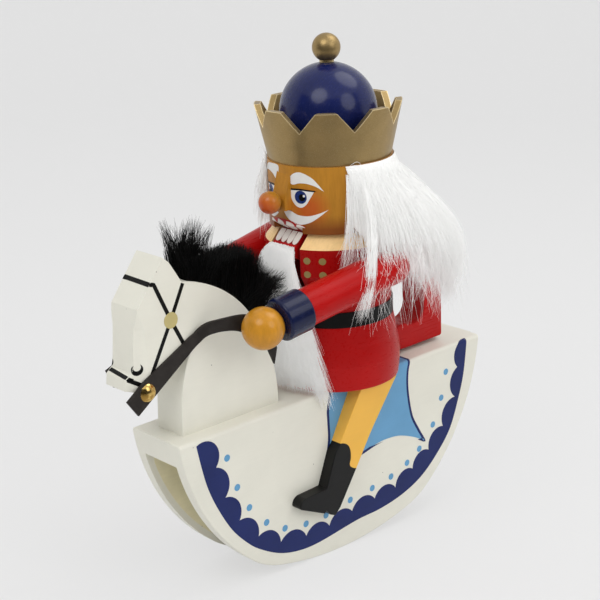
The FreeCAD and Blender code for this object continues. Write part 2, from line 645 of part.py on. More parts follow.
def make_cuff(side, sign):
    """Turned cuff on the end of the sleeve, dished for the hand."""
    shoulder, along, reach = arm_axis(sign)
    body = new_body(side + "_cuff", at(*shoulder, along))
    turn(body, [("arm_radius", "cuff_start"), ("cuff_radius - 1.2", "cuff_start"),
                ("cuff_radius", "cuff_start + 1.2", 1.2), ("cuff_radius", "cuff_end - cuff_round"),
                ("cuff_radius - cuff_round", "cuff_end", "cuff_round"), (0, "cuff_end"), (0, "arm_length"),
                ("arm_radius", "arm_length")])
    ball = number("hand_radius")
    rim = math.sqrt(ball ** 2 - (reach - number("cuff_end")) ** 2)
    beyond = "cuff_end + 2"
    turn(body, [(0, reach - ball), (rim, "cuff_end", ball), (rim, beyond), (0, beyond)], "Groove")
    drill(body, "XY_Plane", "cuff_start", "wrist_dowel_radius", MIDDLE, THROUGH)


def make_hand(side, sign):
    """Ball hand, dowelled into the cuff."""
    shoulder, along, reach = arm_axis(sign)
    body = new_body(side + "_hand", at(*(shoulder + along * reach), along))
    turn(body, [(0, "-hand_radius"), ("hand_radius", 0, "hand_radius"), (0, "hand_radius", "hand_radius")])
    wrist_end = -number("wrist_dowel_sunk") + number("wrist_dowel_in_hand")
    drill(body, "XY_Plane", "-hand_radius", "wrist_dowel_radius", MIDDLE, number("hand_radius") + wrist_end)


def make_arm_dowels():
    """Dowels across the shoulders, and between each sleeve, cuff and hand."""
    shoulders, wrists = [], []
    for sign in (1, -1):
        shoulder, along, reach = arm_axis(sign)
        place = at(towards(sign, "shoulder_dowel_start"), "shoulder_y", "shoulder_z", Vector(sign, 0, 0))
        shoulders.append(rod("shoulder_dowel_radius", "shoulder_dowel_length", place))
        start = number("arm_length - wrist_dowel_sunk")
        length = reach - number("arm_length") + number("wrist_dowel_in_hand")
        wrists.append(rod("wrist_dowel_radius", length, at(*(shoulder + along * start), along)))
    group("shoulder_dowels", shoulders)
    group("wrist_dowels", wrists)


# ---------------------------------------------------------------- legs

def make_leg(side, sign):
    """Flat leg and boot, sawn from one board and thinned below the knee."""
    body = new_body(side + "_leg")
    inner = "seat_half + panel_thickness"
    sketch = outline(new_sketch(body, "YZ_Plane", towards(sign, inner)), [
        (38.6, "leg_top"), (6.6, "leg_top"), (-11.6, -34.9), (-15.3, -38.8), (-24.1, -61.1),
        (-41, -61.6), (-46.9, -66, 5.5), (-45.1, -68.7, 2.5), (-26.2, -77.8), (-24.4, -75.9),
        (-21.2, -80.3), (-17.1, -82.3), (-12.5, -77.9), (2.8, -55.6)])
    extrude(body, sketch, "leg_thickness", back=sign < 0)
    thin_boot(body, sign)
    drill_out(body, sign, "leg_dowel_start", "leg_dowel_radius", LEG_DOWELS, "leg_dowel_length")
    boot_face = number(inner + " + boot_thickness")
    soften(body, "leg_edge_round",
           lambda edge, middle: abs(middle.x) > boot_face - NEAR and middle.z < -2 and not is_level(edge))


def thin_boot(body, sign):
    """Tapers the outside of the leg down to the boot, with a soft end to the taper."""
    outside = number("seat_half + panel_thickness + leg_thickness")
    face = number("seat_half + panel_thickness + boot_thickness")
    top, start, end = number("leg_top"), number("taper_top"), number("taper_end")
    ease = math.atan2(outside - face, top - start) / 2
    tangent = start - end
    blend = tangent / math.tan(ease)
    joint = (face + tangent * math.sin(2 * ease), start + tangent * math.cos(2 * ease))
    clear, bottom = outside + 5, -90
    waste = [(outside, top), joint, (face, end, blend), (face, bottom), (clear, bottom), (clear, top)]
    waste = [(sign * x, z, *(sign * radius for radius in arc)) for x, z, *arc in waste]
    extrude(body, outline(new_sketch(body, "XZ_Plane"), waste), "120", "Pocket", middle=True)


def is_level(edge):
    """Whether the edge runs level along the horse's side."""
    return abs(edge.Vertexes[0].Z - edge.Vertexes[-1].Z) < NEAR


def make_leg_dowels():
    """Dowels that hold the legs to the rocker panels."""
    group("leg_dowels", [
        rod("leg_dowel_radius", "leg_dowel_length",
            at(towards(sign, "leg_dowel_start"), y, z, Vector(sign, 0, 0)))
        for sign in (1, -1) for y, z in LEG_DOWELS])


# ---------------------------------------------------------------- the rider's dowels and screws

def make_rider_dowels():
    """Dowels that join the skirt, torso, head and crown."""
    for label, start in (("torso_dowel", "skirt_bore_depth"), ("crown_dowel", "crown_dowel_start")):
        keep(rod(label + "_radius", label + "_length", at("0", "rider_y", start)), label)
    group("collar_dowels", [
        rod("collar_dowel_radius", "collar_dowel_end - collar_dowel_start",
            at(x, "rider_y + " + y, "collar_dowel_start")) for x, y in COLLAR_DOWELS])


def make_screws():
    """Wood screws from under the seat board into the skirt."""
    screws = []
    for x, y in SCREWS:
        screw = new_body("seat_screw", at(x, y, "-seat_thickness"), finished=False)
        turn(screw, [(0, 0), ("screw_radius", 0), ("screw_radius", "screw_length - 2"), (0, "screw_length")])
        screws.append(screw)
    group("seat_screws", screws)


# ---------------------------------------------------------------- the rider's fur

def make_hair():
    """Fur glued round the back of the head, spreading as it falls."""
    body = new_body("rider_hair", at("0", "rider_y", "0") * turned(90))
    inside = "head_radius + 0.3"
    turn(body, [(56, 98), (66, 98), (57, 117), (47.5, 133), (41, "hair_top"), (inside, "hair_top"),
                (inside, 129), (48, 117)], angle="hair_angle")


def make_beard():
    """Fur glued to the front of the jaw; it hangs down to the seat board."""
    body = new_body("rider_beard")
    fall = outline(new_sketch(body, "XZ_Plane", "beard_start"), [
        (-9, 93), (-14, 45), (-12, 3), (36, 3), (34, 45), (10, 93)])
    extrude(body, fall, "beard_thickness")


# ---------------------------------------------------------------- assembly

for side, sign in SIDES:
    make_panel(side, sign)
    make_rein(side, sign)
    make_rein_nail(side, sign)
    make_arm(side, sign)
    make_cuff(side, sign)
    make_hand(side, sign)
    make_leg(side, sign)
make_seat_board()
make_seat_dowels()
make_horse_head()
make_mane()
make_neck_dowels()
make_skirt()
make_torso()
make_belt()
make_rider_head()
make_nose()
make_crown_ring()
make_crown_dome()
make_crown_finial()
make_jaw_lever()
make_pivot_pin()
make_arm_dowels()
make_leg_dowels()
make_rider_dowels()
make_screws()
make_hair()
make_beard()
doc.recompute()

# ---------------------------------------------------------------- checks and files

for thing in doc.Objects:
    if {"Invalid", "Error"} & set(thing.State):
        owner = thing.getParentGeoFeatureGroup()
        raise RuntimeError(f"{thing.Name} of {owner.Label if owner else 'no body'} failed: {thing.State}")
    if thing.TypeId in ("PartDesign::Pocket", "PartDesign::Groove"):
        if thing.Shape.Volume > thing.BaseFeature.Shape.Volume - 0.01:
            raise RuntimeError(f"{thing.Name} cuts nothing")
box = FreeCAD.BoundBox()
for piece in pieces:
    if piece.Shape.isNull() or not piece.Shape.isValid():
        raise RuntimeError(f"{piece.Label} has no valid shape")
    box.add(piece.Shape.optimalBoundingBox(False))
print(f"{len(pieces)} pieces, box {box.XLength:.1f} x {box.YLength:.1f} x {box.ZLength:.1f}, "
      f"middle y {box.Center.y:.3f}, floor {box.ZMin:.4f}")

os.makedirs("parts", exist_ok=True)
for piece in pieces:
    piece.Shape.exportStep(f"parts/{piece.Label}.step")
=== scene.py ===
"""Looks of a wooden nutcracker king riding a rocking horse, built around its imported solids.

Shapes are measured in millimetres in the horse's own frame: X to the horse's left, Y to its tail,
z = 0 on top of the seat board and y = 0 at the middle of the rockers. in_place() takes them to the
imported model's frame, in metres.
"""
import json
import math

import bmesh
import bpy
import numpy as np
from mathutils import Matrix, Vector
from mathutils.bvhtree import BVHTree
from mathutils.geometry import tessellate_polygon


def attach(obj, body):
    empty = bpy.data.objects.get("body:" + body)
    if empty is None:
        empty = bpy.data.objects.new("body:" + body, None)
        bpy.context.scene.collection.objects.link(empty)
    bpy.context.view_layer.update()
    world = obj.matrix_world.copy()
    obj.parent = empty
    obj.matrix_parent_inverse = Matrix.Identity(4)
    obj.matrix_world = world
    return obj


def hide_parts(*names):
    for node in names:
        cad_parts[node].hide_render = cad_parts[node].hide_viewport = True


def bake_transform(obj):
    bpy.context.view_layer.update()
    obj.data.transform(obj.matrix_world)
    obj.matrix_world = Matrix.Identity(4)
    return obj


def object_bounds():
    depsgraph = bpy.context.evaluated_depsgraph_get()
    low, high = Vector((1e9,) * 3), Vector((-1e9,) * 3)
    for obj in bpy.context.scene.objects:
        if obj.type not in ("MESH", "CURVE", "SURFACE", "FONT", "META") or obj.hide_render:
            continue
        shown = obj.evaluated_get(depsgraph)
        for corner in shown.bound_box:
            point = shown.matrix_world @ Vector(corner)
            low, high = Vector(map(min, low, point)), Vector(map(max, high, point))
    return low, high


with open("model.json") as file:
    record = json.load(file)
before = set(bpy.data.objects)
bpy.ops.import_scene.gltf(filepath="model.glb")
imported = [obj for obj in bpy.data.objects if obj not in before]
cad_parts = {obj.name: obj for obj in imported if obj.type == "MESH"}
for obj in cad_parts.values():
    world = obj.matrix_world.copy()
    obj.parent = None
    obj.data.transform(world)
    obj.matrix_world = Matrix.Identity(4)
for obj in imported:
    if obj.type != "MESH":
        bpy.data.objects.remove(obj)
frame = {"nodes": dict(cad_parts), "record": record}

bl_info = {
    "name": "Rocking horse with a nutcracker king",
    "version": (1, 0, 0),
    "blender": (4, 5, 0),
    "location": "3D View > Sidebar > Rocking Horse",
    "description": "Paint, fur, straps and a studio for a wooden nutcracker king on a rocking horse",
    "category": "Object",
}

CAD_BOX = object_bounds()
HORSE_BODY, JAW_BODY = "horse_and_rider", "jaw"
LEFT, RIGHT = 1, -1
SIDES = (("left", LEFT), ("right", RIGHT))
PAINT = 0.12          # how far a coat of paint stands on what it covers, mm
GROUPS = {}           # shader node groups, by name
MATERIALS = {}        # by the name of the finish


# ---------------------------------------------------------------- the horse's own frame

def horse_frame():
    """Matrix from the horse's frame, in millimetres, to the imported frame, in metres."""
    mount = frame["record"]["mounts"][0]
    under_board = Vector((0, -0.050, -0.016))      # the mount, in the horse's frame
    turn = Matrix.Rotation(math.atan2(mount["axis"][1], -mount["axis"][2]), 4, "X")
    return Matrix.Translation(Vector(mount["pos_m"]) - turn @ under_board) @ turn @ Matrix.Scale(0.001, 4)


HORSE = horse_frame()
TO_HORSE = HORSE.inverted()


def moved(points, matrix):
    """Points as an array, taken from one frame to another."""
    matrix = np.array(matrix)
    return np.asarray(points) @ matrix[:3, :3].T + matrix[:3, 3]


def in_place(points):
    """Points of the horse's frame, in millimetres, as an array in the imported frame, in metres."""
    return moved(points, HORSE)


def measured(node):
    """Lowest and highest corner of a solid in the horse's own frame, in millimetres."""
    mesh = frame["nodes"][node].data
    corners = np.zeros(len(mesh.vertices) * 3, np.float32)
    mesh.vertices.foreach_get("co", corners)
    corners = moved(corners.reshape(-1, 3), TO_HORSE)
    return corners.min(axis=0), corners.max(axis=0)


def half_width(node):
    """Half of a solid's width across the horse."""
    low, high = measured(node)
    return float((high[0] - low[0]) / 2)


PANEL_LOW, PANEL_HIGH = measured("left_rocker_panel")
SIDE = float(PANEL_HIGH[0])                        # outer face of the rocker panels
TOP_ROUND = 2.4                                    # rounding along the top of the panels
RIDER_Y = float(sum(corner[1] for corner in measured("coat_skirt")) / 2)
FACE_RADIUS = half_width("rider_head")
FACE_DEGREE = math.radians(1) * FACE_RADIUS        # length of one degree round the face
HEAD_SIDE = float(measured("horse_neck_and_head")[1][0])
LEVER_SIDE = float(measured("jaw_lever")[1][0])


# ---------------------------------------------------------------- what a user can change

def color_setting(name, description, default):
    return bpy.props.FloatVectorProperty(name=name, description=description, subtype="COLOR", size=3,
                                         min=0, max=1, default=default)


def length_setting(name, description, default):
    return bpy.props.FloatProperty(name=name, description=description, unit="LENGTH", default=default)


def count_setting(name, description, default):
    return bpy.props.IntProperty(name=name, description=description, default=default)


def angle_setting(name, description, degrees):
    return bpy.props.FloatProperty(name=name, description=description, subtype="ANGLE",
                                   default=math.radians(degrees))


class HorseColors(bpy.types.PropertyGroup):
    """Paints, varnishes and fur."""

    cream: color_setting("Cream", "Paint of the horse and its rockers", (0.8, 0.785, 0.69))
    red: color_setting("Red", "Paint of the coat and the lever", (0.44, 0.005, 0.005))
    navy: color_setting("Navy", "Paint of the cuffs", (0.005, 0.009, 0.045))
    dome: color_setting("Dome blue", "Paint of the dome of the crown", (0.007, 0.013, 0.085))
    black: color_setting("Black", "Paint of the belt, boots and bridle", (0.004, 0.004, 0.004))
    gold: color_setting("Gold", "Bronze-gold paint of the crown", (0.36, 0.25, 0.105))
    collar_gold: color_setting("Collar gold", "Light gold paint of the collar", (0.92, 0.63, 0.29))
    button_gold: color_setting("Button gold", "Dull gold paint of the buttons", (0.3, 0.23, 0.08))
    ochre: color_setting("Ochre", "Paint of the trousers", (0.9, 0.5, 0.08))
    scallop_blue: color_setting("Scallop blue", "Dark blue of the scalloped band", (0.012, 0.022, 0.12))
    dot_blue: color_setting("Dot blue", "Light blue of the dots", (0.12, 0.34, 0.58))
    cloth_blue: color_setting("Cloth blue", "Middle blue of the painted saddle cloth", (0.135, 0.35, 0.585))
    skin: color_setting("Skin varnish", "Tinted varnish of the head and nose", (0.5, 0.22, 0.022))
    hand: color_setting("Hand varnish", "Tinted varnish of the ball hands", (0.61, 0.27, 0.022))
    blush: color_setting("Blush", "Red tint of the cheeks and chin", (0.52, 0.07, 0.012))
    wood: color_setting("Bare wood", "Unpainted beech", (0.62, 0.42, 0.22))
    inside: color_setting("Inside wash", "Thin yellowish wash on the inner faces of the rockers",
                          (0.82, 0.76, 0.52))
    leather: color_setting("Strap leather", "Dark leather of the reins", (0.022, 0.018, 0.016))
    brass: color_setting("Brass", "Polished heads of the nails", (0.86, 0.6, 0.2))
    white_fur: color_setting("White fur", "Hair and beard", (0.985, 0.985, 0.975))
    black_fur: color_setting("Black fur", "Mane and forelock", (0.003, 0.003, 0.003))


class HorseSizes(bpy.types.PropertyGroup):
    """Painted lines and dots, and amounts of fur."""

    lobe_bulge: bpy.props.FloatProperty(
        name="Lobe bulge", description="Height of each lobe of the scalloped band, as a share of its width",
        subtype="FACTOR", min=0.05, max=0.5, default=0.29)
    dot_diameter: length_setting("Dot diameter", "Diameter of the painted dots", 0.0045)
    cloth_line: length_setting("Cloth outline", "Width of the line round the saddle cloth", 0.0018)
    bridle_line: length_setting("Bridle line", "Width of the painted straps of the bridle", 0.0025)
    button_diameter: length_setting("Button diameter", "Diameter of the dots down the coat", 0.0043)
    hair_width: length_setting("Hair width", "Thickness of a hair of the white fur", 0.00028)
    hair_count: count_setting("Hairs of the head", "Number of hairs round the back of the head", 13000)
    beard_count: count_setting("Hairs of the beard", "Number of hairs of the beard", 7000)
    mane_count: count_setting("Hairs of the mane", "Number of hairs along the horse's crest", 7000)
    forelock_count: count_setting("Hairs of the forelock", "Number of hairs of the tuft at the poll", 2600)


class HorseStudio(bpy.types.PropertyGroup):
    """Camera and lamps."""

    azimuth: angle_setting("Azimuth", "Where the camera stands, from straight ahead towards the left", 47.46)
    elevation: angle_setting("Elevation", "Height of the camera above the horizon", 15.96)
    distance: length_setting("Distance", "From the camera to the middle of the object", 0.9335)
    lens: bpy.props.FloatProperty(
        name="Lens", description="Focal length on a 36 mm sensor", unit="CAMERA", default=88.7)
    aim: bpy.props.FloatVectorProperty(
        name="Aim", description="What the camera looks at, from the middle of the object", size=3,
        subtype="TRANSLATION", unit="LENGTH", default=(-0.00065, -0.00036, 0.00082))
    sky: bpy.props.FloatProperty(
        name="Sky", description="Strength of the light from all round", default=0.74)
    key: bpy.props.FloatProperty(
        name="Key", description="Power of the large lamp in front", unit="POWER", default=6.0)
    evenness: bpy.props.FloatProperty(
        name="Evenness", description="How evenly bright the floor and the backdrop look", subtype="FACTOR",
        min=0, max=1, default=0.72)
    backdrop: color_setting("Backdrop", "Colour of the floor and the backdrop", (0.82, 0.82, 0.82))


# ---------------------------------------------------------------- meshes

def add_object(name, data):
    """Puts a mesh, lamp or camera into the scene."""
    thing = bpy.data.objects.new(name, data)
    bpy.context.scene.collection.objects.link(thing)
    return thing


def new_piece(name, points, faces, finish, body=HORSE_BODY, smooth=True):
    """Mesh object from points in the horse's frame; it rides on a body of the model."""
    mesh = bpy.data.meshes.new(name)
    mesh.from_pydata(in_place(points).tolist(), [], faces)
    mesh.validate()
    mesh.polygons.foreach_set("use_smooth", [smooth] * len(mesh.polygons))
    mesh.materials.append(MATERIALS[finish])
    piece = add_object(name, mesh)
    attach(piece, body)
    return piece


def fill(outline, step):
    """Fills a flat outline with triangles whose edges are no longer than the step."""
    points = [tuple(point) for point in outline]
    pending = [tuple(face) for face in tessellate_polygon([[Vector((u, v, 0)) for u, v in outline]])]
    done = []
    middles = {}
    while pending:
        face = pending.pop()
        lengths = [math.dist(points[face[i]], points[face[(i + 1) % 3]]) for i in range(3)]
        longest = max(range(3), key=lengths.__getitem__)
        if lengths[longest] <= step:
            done.append(face)
            continue
        a, b, c = face[longest], face[(longest + 1) % 3], face[(longest + 2) % 3]
        key = (min(a, b), max(a, b))
        if key not in middles:
            middles[key] = len(points)
            points.append(tuple((p + q) / 2 for p, q in zip(points[a], points[b])))
        pending += [(a, middles[key], c), (middles[key], b, c)]
    return points, heal(done, middles)


def heal(faces, middles):
    """Splits each triangle whose edge was split on its other side, so that no gap opens."""
    done = []
    pending = list(faces)
    while pending:
        face = pending.pop()
        for i in range(3):
            a, b, c = face[i], face[(i + 1) % 3], face[(i + 2) % 3]
            middle = middles.get((min(a, b), max(a, b)))
            if middle is not None:
                pending += [(a, middle, c), (middle, b, c)]
                break
        else:
            done.append(face)
    return done


def paint_coat(name, outline, onto, finish, step, coats=1, body=HORSE_BODY):
    """A closed thin coat of paint: a flat outline laid onto a surface.

    onto(u, v, height) gives the place at a height above the surface.
    """
    flat, faces = fill(outline, step)
    over = [onto(u, v, PAINT * coats) for u, v in flat]
    under = [onto(u, v, -PAINT * coats) for u, v in flat]
    count = len(flat)
    edges = dict.fromkeys(edge for a, b, c in faces for edge in ((a, b), (b, c), (c, a)))
    walls = [(b, a, a + count, b + count) for a, b in edges if (b, a) not in edges]
    back = [(c + count, b + count, a + count) for a, b, c in faces]
    settle_normals(new_piece(name, over + under, faces + back + walls, finish, body, smooth=False))


def settle_normals(piece):
    """Turns the faces of a closed piece outwards."""
    shape = bmesh.new()
    shape.from_mesh(piece.data)
    bmesh.ops.recalc_face_normals(shape, faces=shape.faces)
    shape.to_mesh(piece.data)
    shape.free()


def smooth_loop(corners, steps=8):
    """Closed smooth curve through the corners; a corner with a third value is left sharp."""
    count = len(corners)
    curve = []
    for i in range(count):
        before, start, end, after = (corners[(i + k) % count] for k in (-1, 0, 1, 2))
        p0 = np.array(start[:2] if len(start) > 2 else before[:2], float)
        p1, p2 = np.array(start[:2], float), np.array(end[:2], float)
        p3 = np.array(end[:2] if len(end) > 2 else after[:2], float)
        for t in np.arange(steps) / steps:
            curve.append(tuple(0.5 * (2 * p1 + (p2 - p0) * t + (2 * p0 - 5 * p1 + 4 * p2 - p3) * t ** 2
                                      + (3 * p1 - p0 - 3 * p2 + p3) * t ** 3)))
    return curve


def smooth_line(corners):
    """Smooth curve through the corners, from the first to the last."""
    steps = 6
    first, *others, last = corners
    return smooth_loop([(*first, 1), *others, (*last, 1)], steps)[:(len(corners) - 1) * steps + 1]


def millimetres(metres):
    return metres * 1000


def ring(u, v, radius):
    """Circle about (u, v)."""
    sides = 28
    return [(u + radius * math.cos(a), v + radius * math.sin(a))
            for a in np.arange(sides) * math.tau / sides]


def arc_points(start, end, bulge):
    """Arc from start to end, both included; it stands to the left of the way by the bulge."""
    start, end = np.array(start, float), np.array(end, float)
    chord = end - start
    span = float(np.hypot(*chord))
    left = np.array((-chord[1], chord[0])) / span
    radius = (span ** 2 / 4 + bulge ** 2) / (2 * bulge)
    centre = (start + end) / 2 + left * (bulge - radius)
    sweep = 2 * math.asin(min(1, span / 2 / radius))
    if bulge > radius:
        sweep = math.tau - sweep
    along = chord / span
    return [tuple(centre + radius * (math.cos(a) * left + math.sin(a) * along))
            for a in np.linspace(-sweep / 2, sweep / 2, 14)]


def stroke(line, width, spacing):
    """Outline of a line drawn with a width; its points are no further apart than the spacing."""
    spaced = []
    for start, end in zip(line, line[1:]):
        count = max(1, math.ceil(math.dist(start, end) / spacing))
        spaced += [tuple(a + (b - a) * k / count for a, b in zip(start, end)) for k in range(count)]
    line = np.array([*spaced, line[-1]], float)
    along = np.gradient(line, axis=0)
    along /= np.linalg.norm(along, axis=1)[:, None]
    side = np.stack((along[:, 1], -along[:, 0]), axis=1) * width / 2
    return [tuple(point) for point in (*(line + side), *(line - side)[::-1])]


# ---------------------------------------------------------------- surfaces that paint lies on

def on_flank(sign):
    """(y, down): over the top edge of a rocker panel and down its outer face, from the middle."""
    turn_start = SIDE - TOP_ROUND
    turn_length = TOP_ROUND * math.pi / 2

    def place(y, down, height):
        if down <= turn_start:
            return sign * down, y, height
        if down < turn_start + turn_length:
            slope = (down - turn_start) / TOP_ROUND
            reach = TOP_ROUND + height
            return (sign * (turn_start + reach * math.sin(slope)), y,
                    -TOP_ROUND + reach * math.cos(slope))
        return sign * (SIDE + height), y, -TOP_ROUND - (down - turn_start - turn_length)
    return place


def down_flank(z):
    """How far down from the board's middle a height on the panel's outer face lies."""
    return SIDE - TOP_ROUND + TOP_ROUND * math.pi / 2 - TOP_ROUND - z


def inside_panel(sign):
    """(y, z): on the inner face of a rocker panel."""
    def place(y, z, height):
        return sign * (float(PANEL_LOW[0]) - height), y, z
    return place


def round_rider(radius):
    """(distance round from the front, z): on a turned surface of the rider."""
    def place(around, z, height):
        turn = around / FACE_RADIUS
        return (radius + height) * math.sin(turn), RIDER_Y - (radius + height) * math.cos(turn), z
    return place


def thrown_onto(node, start, across, up, way):
    """(u, v): thrown along a direction onto the surface of a solid."""
    mesh = frame["nodes"][node].data
    tree = BVHTree.FromPolygons([TO_HORSE @ vertex.co for vertex in mesh.vertices],
                                [tuple(face.vertices) for face in mesh.polygons])
    start, across, up, way = (Vector(v) for v in (start, across, up, way))
    way.normalize()

    def place(u, v, height):
        origin = start + across * u + up * v
        hit, normal, _, _ = tree.ray_cast(origin, way)
        if hit is None:
            hit, normal, _, _ = tree.find_nearest(origin + way * 60)
        if normal.dot(way) > 0:
            normal = -normal
        return tuple(hit + normal * height)
    return place


# ---------------------------------------------------------------- materials

def feed(node, inputs):
    """Feeds a node's inputs, by title or number, with outputs, numbers, vectors or colours."""
    for title, value in inputs.items():
        socket = node.inputs[title]
        if isinstance(value, bpy.types.NodeSocket):
            node.id_data.links.new(value, socket)
        else:
            socket.default_value = (*value[:3], 1) if socket.type == "RGBA" else value


def add_node(near, kind, inputs=None, **settings):
    """Node in the same tree as another node or an output, or in a group; with its settings and inputs."""
    node = near.id_data.nodes.new(kind)
    for name, value in settings.items():
        setattr(node, name, value)
    feed(node, inputs or {})
    return node


def new_group(name, inputs, outputs):
    """Shader node group with its named sockets: the group, what it is given and its last node."""
    group = bpy.data.node_groups.new(name, "ShaderNodeTree")
    for title, kind, value in inputs:
        socket = group.interface.new_socket(title, in_out="INPUT", socket_type="NodeSocket" + kind)
        socket.default_value = value
    for title, kind in outputs:
        group.interface.new_socket(title, in_out="OUTPUT", socket_type="NodeSocket" + kind)
    return group, group.nodes.new("NodeGroupInput").outputs, group.nodes.new("NodeGroupOutput")


def noise(vector, scale, detail, roughness=0.55):
    """Cloudy value from 0 to 1."""
    return add_node(vector, "ShaderNodeTexNoise", {
        "Vector": vector, "Scale": scale, "Detail": detail, "Roughness": roughness}).outputs["Fac"]


def ranged(value, low, high, to_low=0.0, to_high=1.0):
    """The value taken from one range to another, and kept within it."""
    return add_node(value, "ShaderNodeMapRange", {
        "Value": value, "From Min": low, "From Max": high, "To Min": to_low, "To Max": to_high},
        clamp=True).outputs["Result"]


def arithmetic(operation, first, *others):
    """Result of a Math node; the first value is an output."""
    return add_node(first, "ShaderNodeMath", dict(enumerate((first, *others))),
                    operation=operation).outputs["Value"]


def vectors(operation, first, second):
    """Outputs of a Vector Math node; the first vector is an output."""
    return add_node(first, "ShaderNodeVectorMath", {0: first, 1: second}, operation=operation).outputs


def blended(factor, first, second):
    """Mix of two colours by a factor that is an output."""
    return add_node(factor, "ShaderNodeMix", {0: factor, 6: first, 7: second}, data_type="RGBA").outputs[2]


def horse_millimetres(near):
    """Place on the surface in the horse's frame, in millimetres."""
    return add_node(near, "ShaderNodeMapping", {
        "Vector": add_node(near, "ShaderNodeTexCoord").outputs["Object"], "Location": HORSE.translation,
        "Rotation": HORSE.to_euler(), "Scale": (0.001, 0.001, 0.001)},
        vector_type="TEXTURE").outputs["Vector"]


def split(vector):
    """Outputs X, Y and Z of a vector."""
    return add_node(vector, "ShaderNodeSeparateXYZ", {"Vector": vector}).outputs


def make_paint_group():
    """Brushed paint: tone that drifts, faint brush lines, specks of grime, and its bumps."""
    group, given, last = new_group(
        "brushed_paint",
        [("Color", "Color", (1, 1, 1, 1)), ("Grime", "Color", (0, 0, 0, 1)), ("Drift", "Float", 0.1),
         ("Speck Size", "Float", 0.05), ("Gloss", "Float", 0.3)],
        [("Color", "Color"), ("Roughness", "Float"), ("Height", "Float")])
    place = horse_millimetres(group)
    drift = noise(place, 0.035, 3)
    streaks = add_node(group, "ShaderNodeMapping", {"Vector": place, "Scale": (0.9, 0.06, 0.5)})
    brush = noise(streaks.outputs["Vector"], 1.0, 4, 0.6)
    fine = noise(place, 2.4, 3, 0.6)
    tone = arithmetic("ADD", drift, arithmetic("MULTIPLY", brush, 0.35))
    off_middle = arithmetic("SUBTRACT", tone, 0.67)
    shade = arithmetic("MULTIPLY_ADD", off_middle, given["Drift"], 1.0)
    toned = add_node(group, "ShaderNodeHueSaturation", {"Value": shade, "Color": given["Color"]})
    cells = add_node(group, "ShaderNodeTexVoronoi", {"Vector": place, "Scale": 0.11})
    specks = arithmetic("LESS_THAN", cells.outputs["Distance"], given["Speck Size"])
    specks = arithmetic("MULTIPLY", specks, ranged(drift, 0.5, 0.56))
    uneven = arithmetic("MULTIPLY", arithmetic("SUBTRACT", brush, 0.5), 0.3)
    feed(last, {
        "Color": blended(specks, toned.outputs["Color"], given["Grime"]),
        "Roughness": arithmetic("ADD", uneven, given["Gloss"]),
        "Height": arithmetic("ADD", arithmetic("MULTIPLY", brush, 0.8),
                             arithmetic("MULTIPLY", fine, 0.2))})
    return group


def make_grain_group():
    """Wood grain seen through tinted varnish: long growth lines, pores and warmer patches."""
    group, given, last = new_group(
        "varnished_grain",
        [("Light", "Color", (1, 1, 1, 1)), ("Dark", "Color", (0, 0, 0, 1)), ("Contrast", "Float", 0.5),
         ("Grain", "Vector", (0.9, 0.9, 0.09))],
        [("Color", "Color"), ("Height", "Float")])
    place = horse_millimetres(group)
    along = vectors("MULTIPLY", place, given["Grain"])["Vector"]
    lines = noise(along, 0.55, 5, 0.65)
    pores = noise(along, 3.2, 2, 0.5)
    patches = noise(place, 0.05, 2)
    mask = arithmetic("ADD", ranged(lines, 0.35, 0.72),
                      arithmetic("MULTIPLY", ranged(pores, 0.55, 0.75), 0.35))
    mask = arithmetic("ADD", mask, ranged(patches, 0.4, 0.7, -0.2, 0.3))
    strength = add_node(group, "ShaderNodeMath", {0: mask, 1: given["Contrast"]}, operation="MULTIPLY",
                        use_clamp=True)
    feed(last, {"Color": blended(strength.outputs["Value"], given["Light"], given["Dark"]), "Height": lines})
    return group


def new_shader(name):
    """Shader of a new material, which is kept by the name of the finish."""
    material = MATERIALS[name] = bpy.data.materials.new(name)
    material.use_nodes = True
    return material.node_tree.nodes["Principled BSDF"]


def raise_surface(shader, height, strength, depth):
    """Bumps of a depth in metres."""
    bump = add_node(shader, "ShaderNodeBump", {"Height": height, "Strength": strength, "Distance": depth})
    feed(shader, {"Normal": bump.outputs["Normal"]})


def paint_layer(near, color, grime, drift, specks, gloss):
    """Outputs of the brushed paint with its own values."""
    return add_node(near, "ShaderNodeGroup", {
        "Color": color, "Grime": grime, "Drift": drift, "Speck Size": specks, "Gloss": gloss},
        node_tree=GROUPS["paint"]).outputs


def painted(name, color, gloss, drift, shine=0.35, specks=0.0, coat=0.0):
    """Brushed paint on wood: its shader and colour."""
    shader = new_shader(name)
    paint = paint_layer(shader, color, [0.25 * c + 0.02 for c in color[:3]], drift, specks, gloss)
    feed(shader, {"Base Color": paint["Color"], "Roughness": paint["Roughness"],
                  "Specular IOR Level": shine, "Coat Weight": coat, "Coat Roughness": 0.12})
    raise_surface(shader, paint["Height"], 0.35, 0.00008)
    return shader, paint["Color"]


def varnished(name, color, dark, contrast, grain, gloss, coat):
    """Clear varnish over wood with darker grain, dark times its colour: its shader and colour."""
    shader = new_shader(name)
    wood = add_node(shader, "ShaderNodeGroup", {
        "Light": color, "Dark": darker(color, dark), "Contrast": contrast, "Grain": grain},
        node_tree=GROUPS["grain"]).outputs
    feed(shader, {
        "Base Color": wood["Color"], "Roughness": gloss + 0.15, "Specular IOR Level": 0.15,
        "Coat Weight": coat, "Coat Roughness": gloss * 0.5})
    raise_surface(shader, wood["Height"], 0.3, 0.00008)
    return shader, wood["Color"]


def darker(color, factor):
    return tuple(c * factor for c in color[:3])


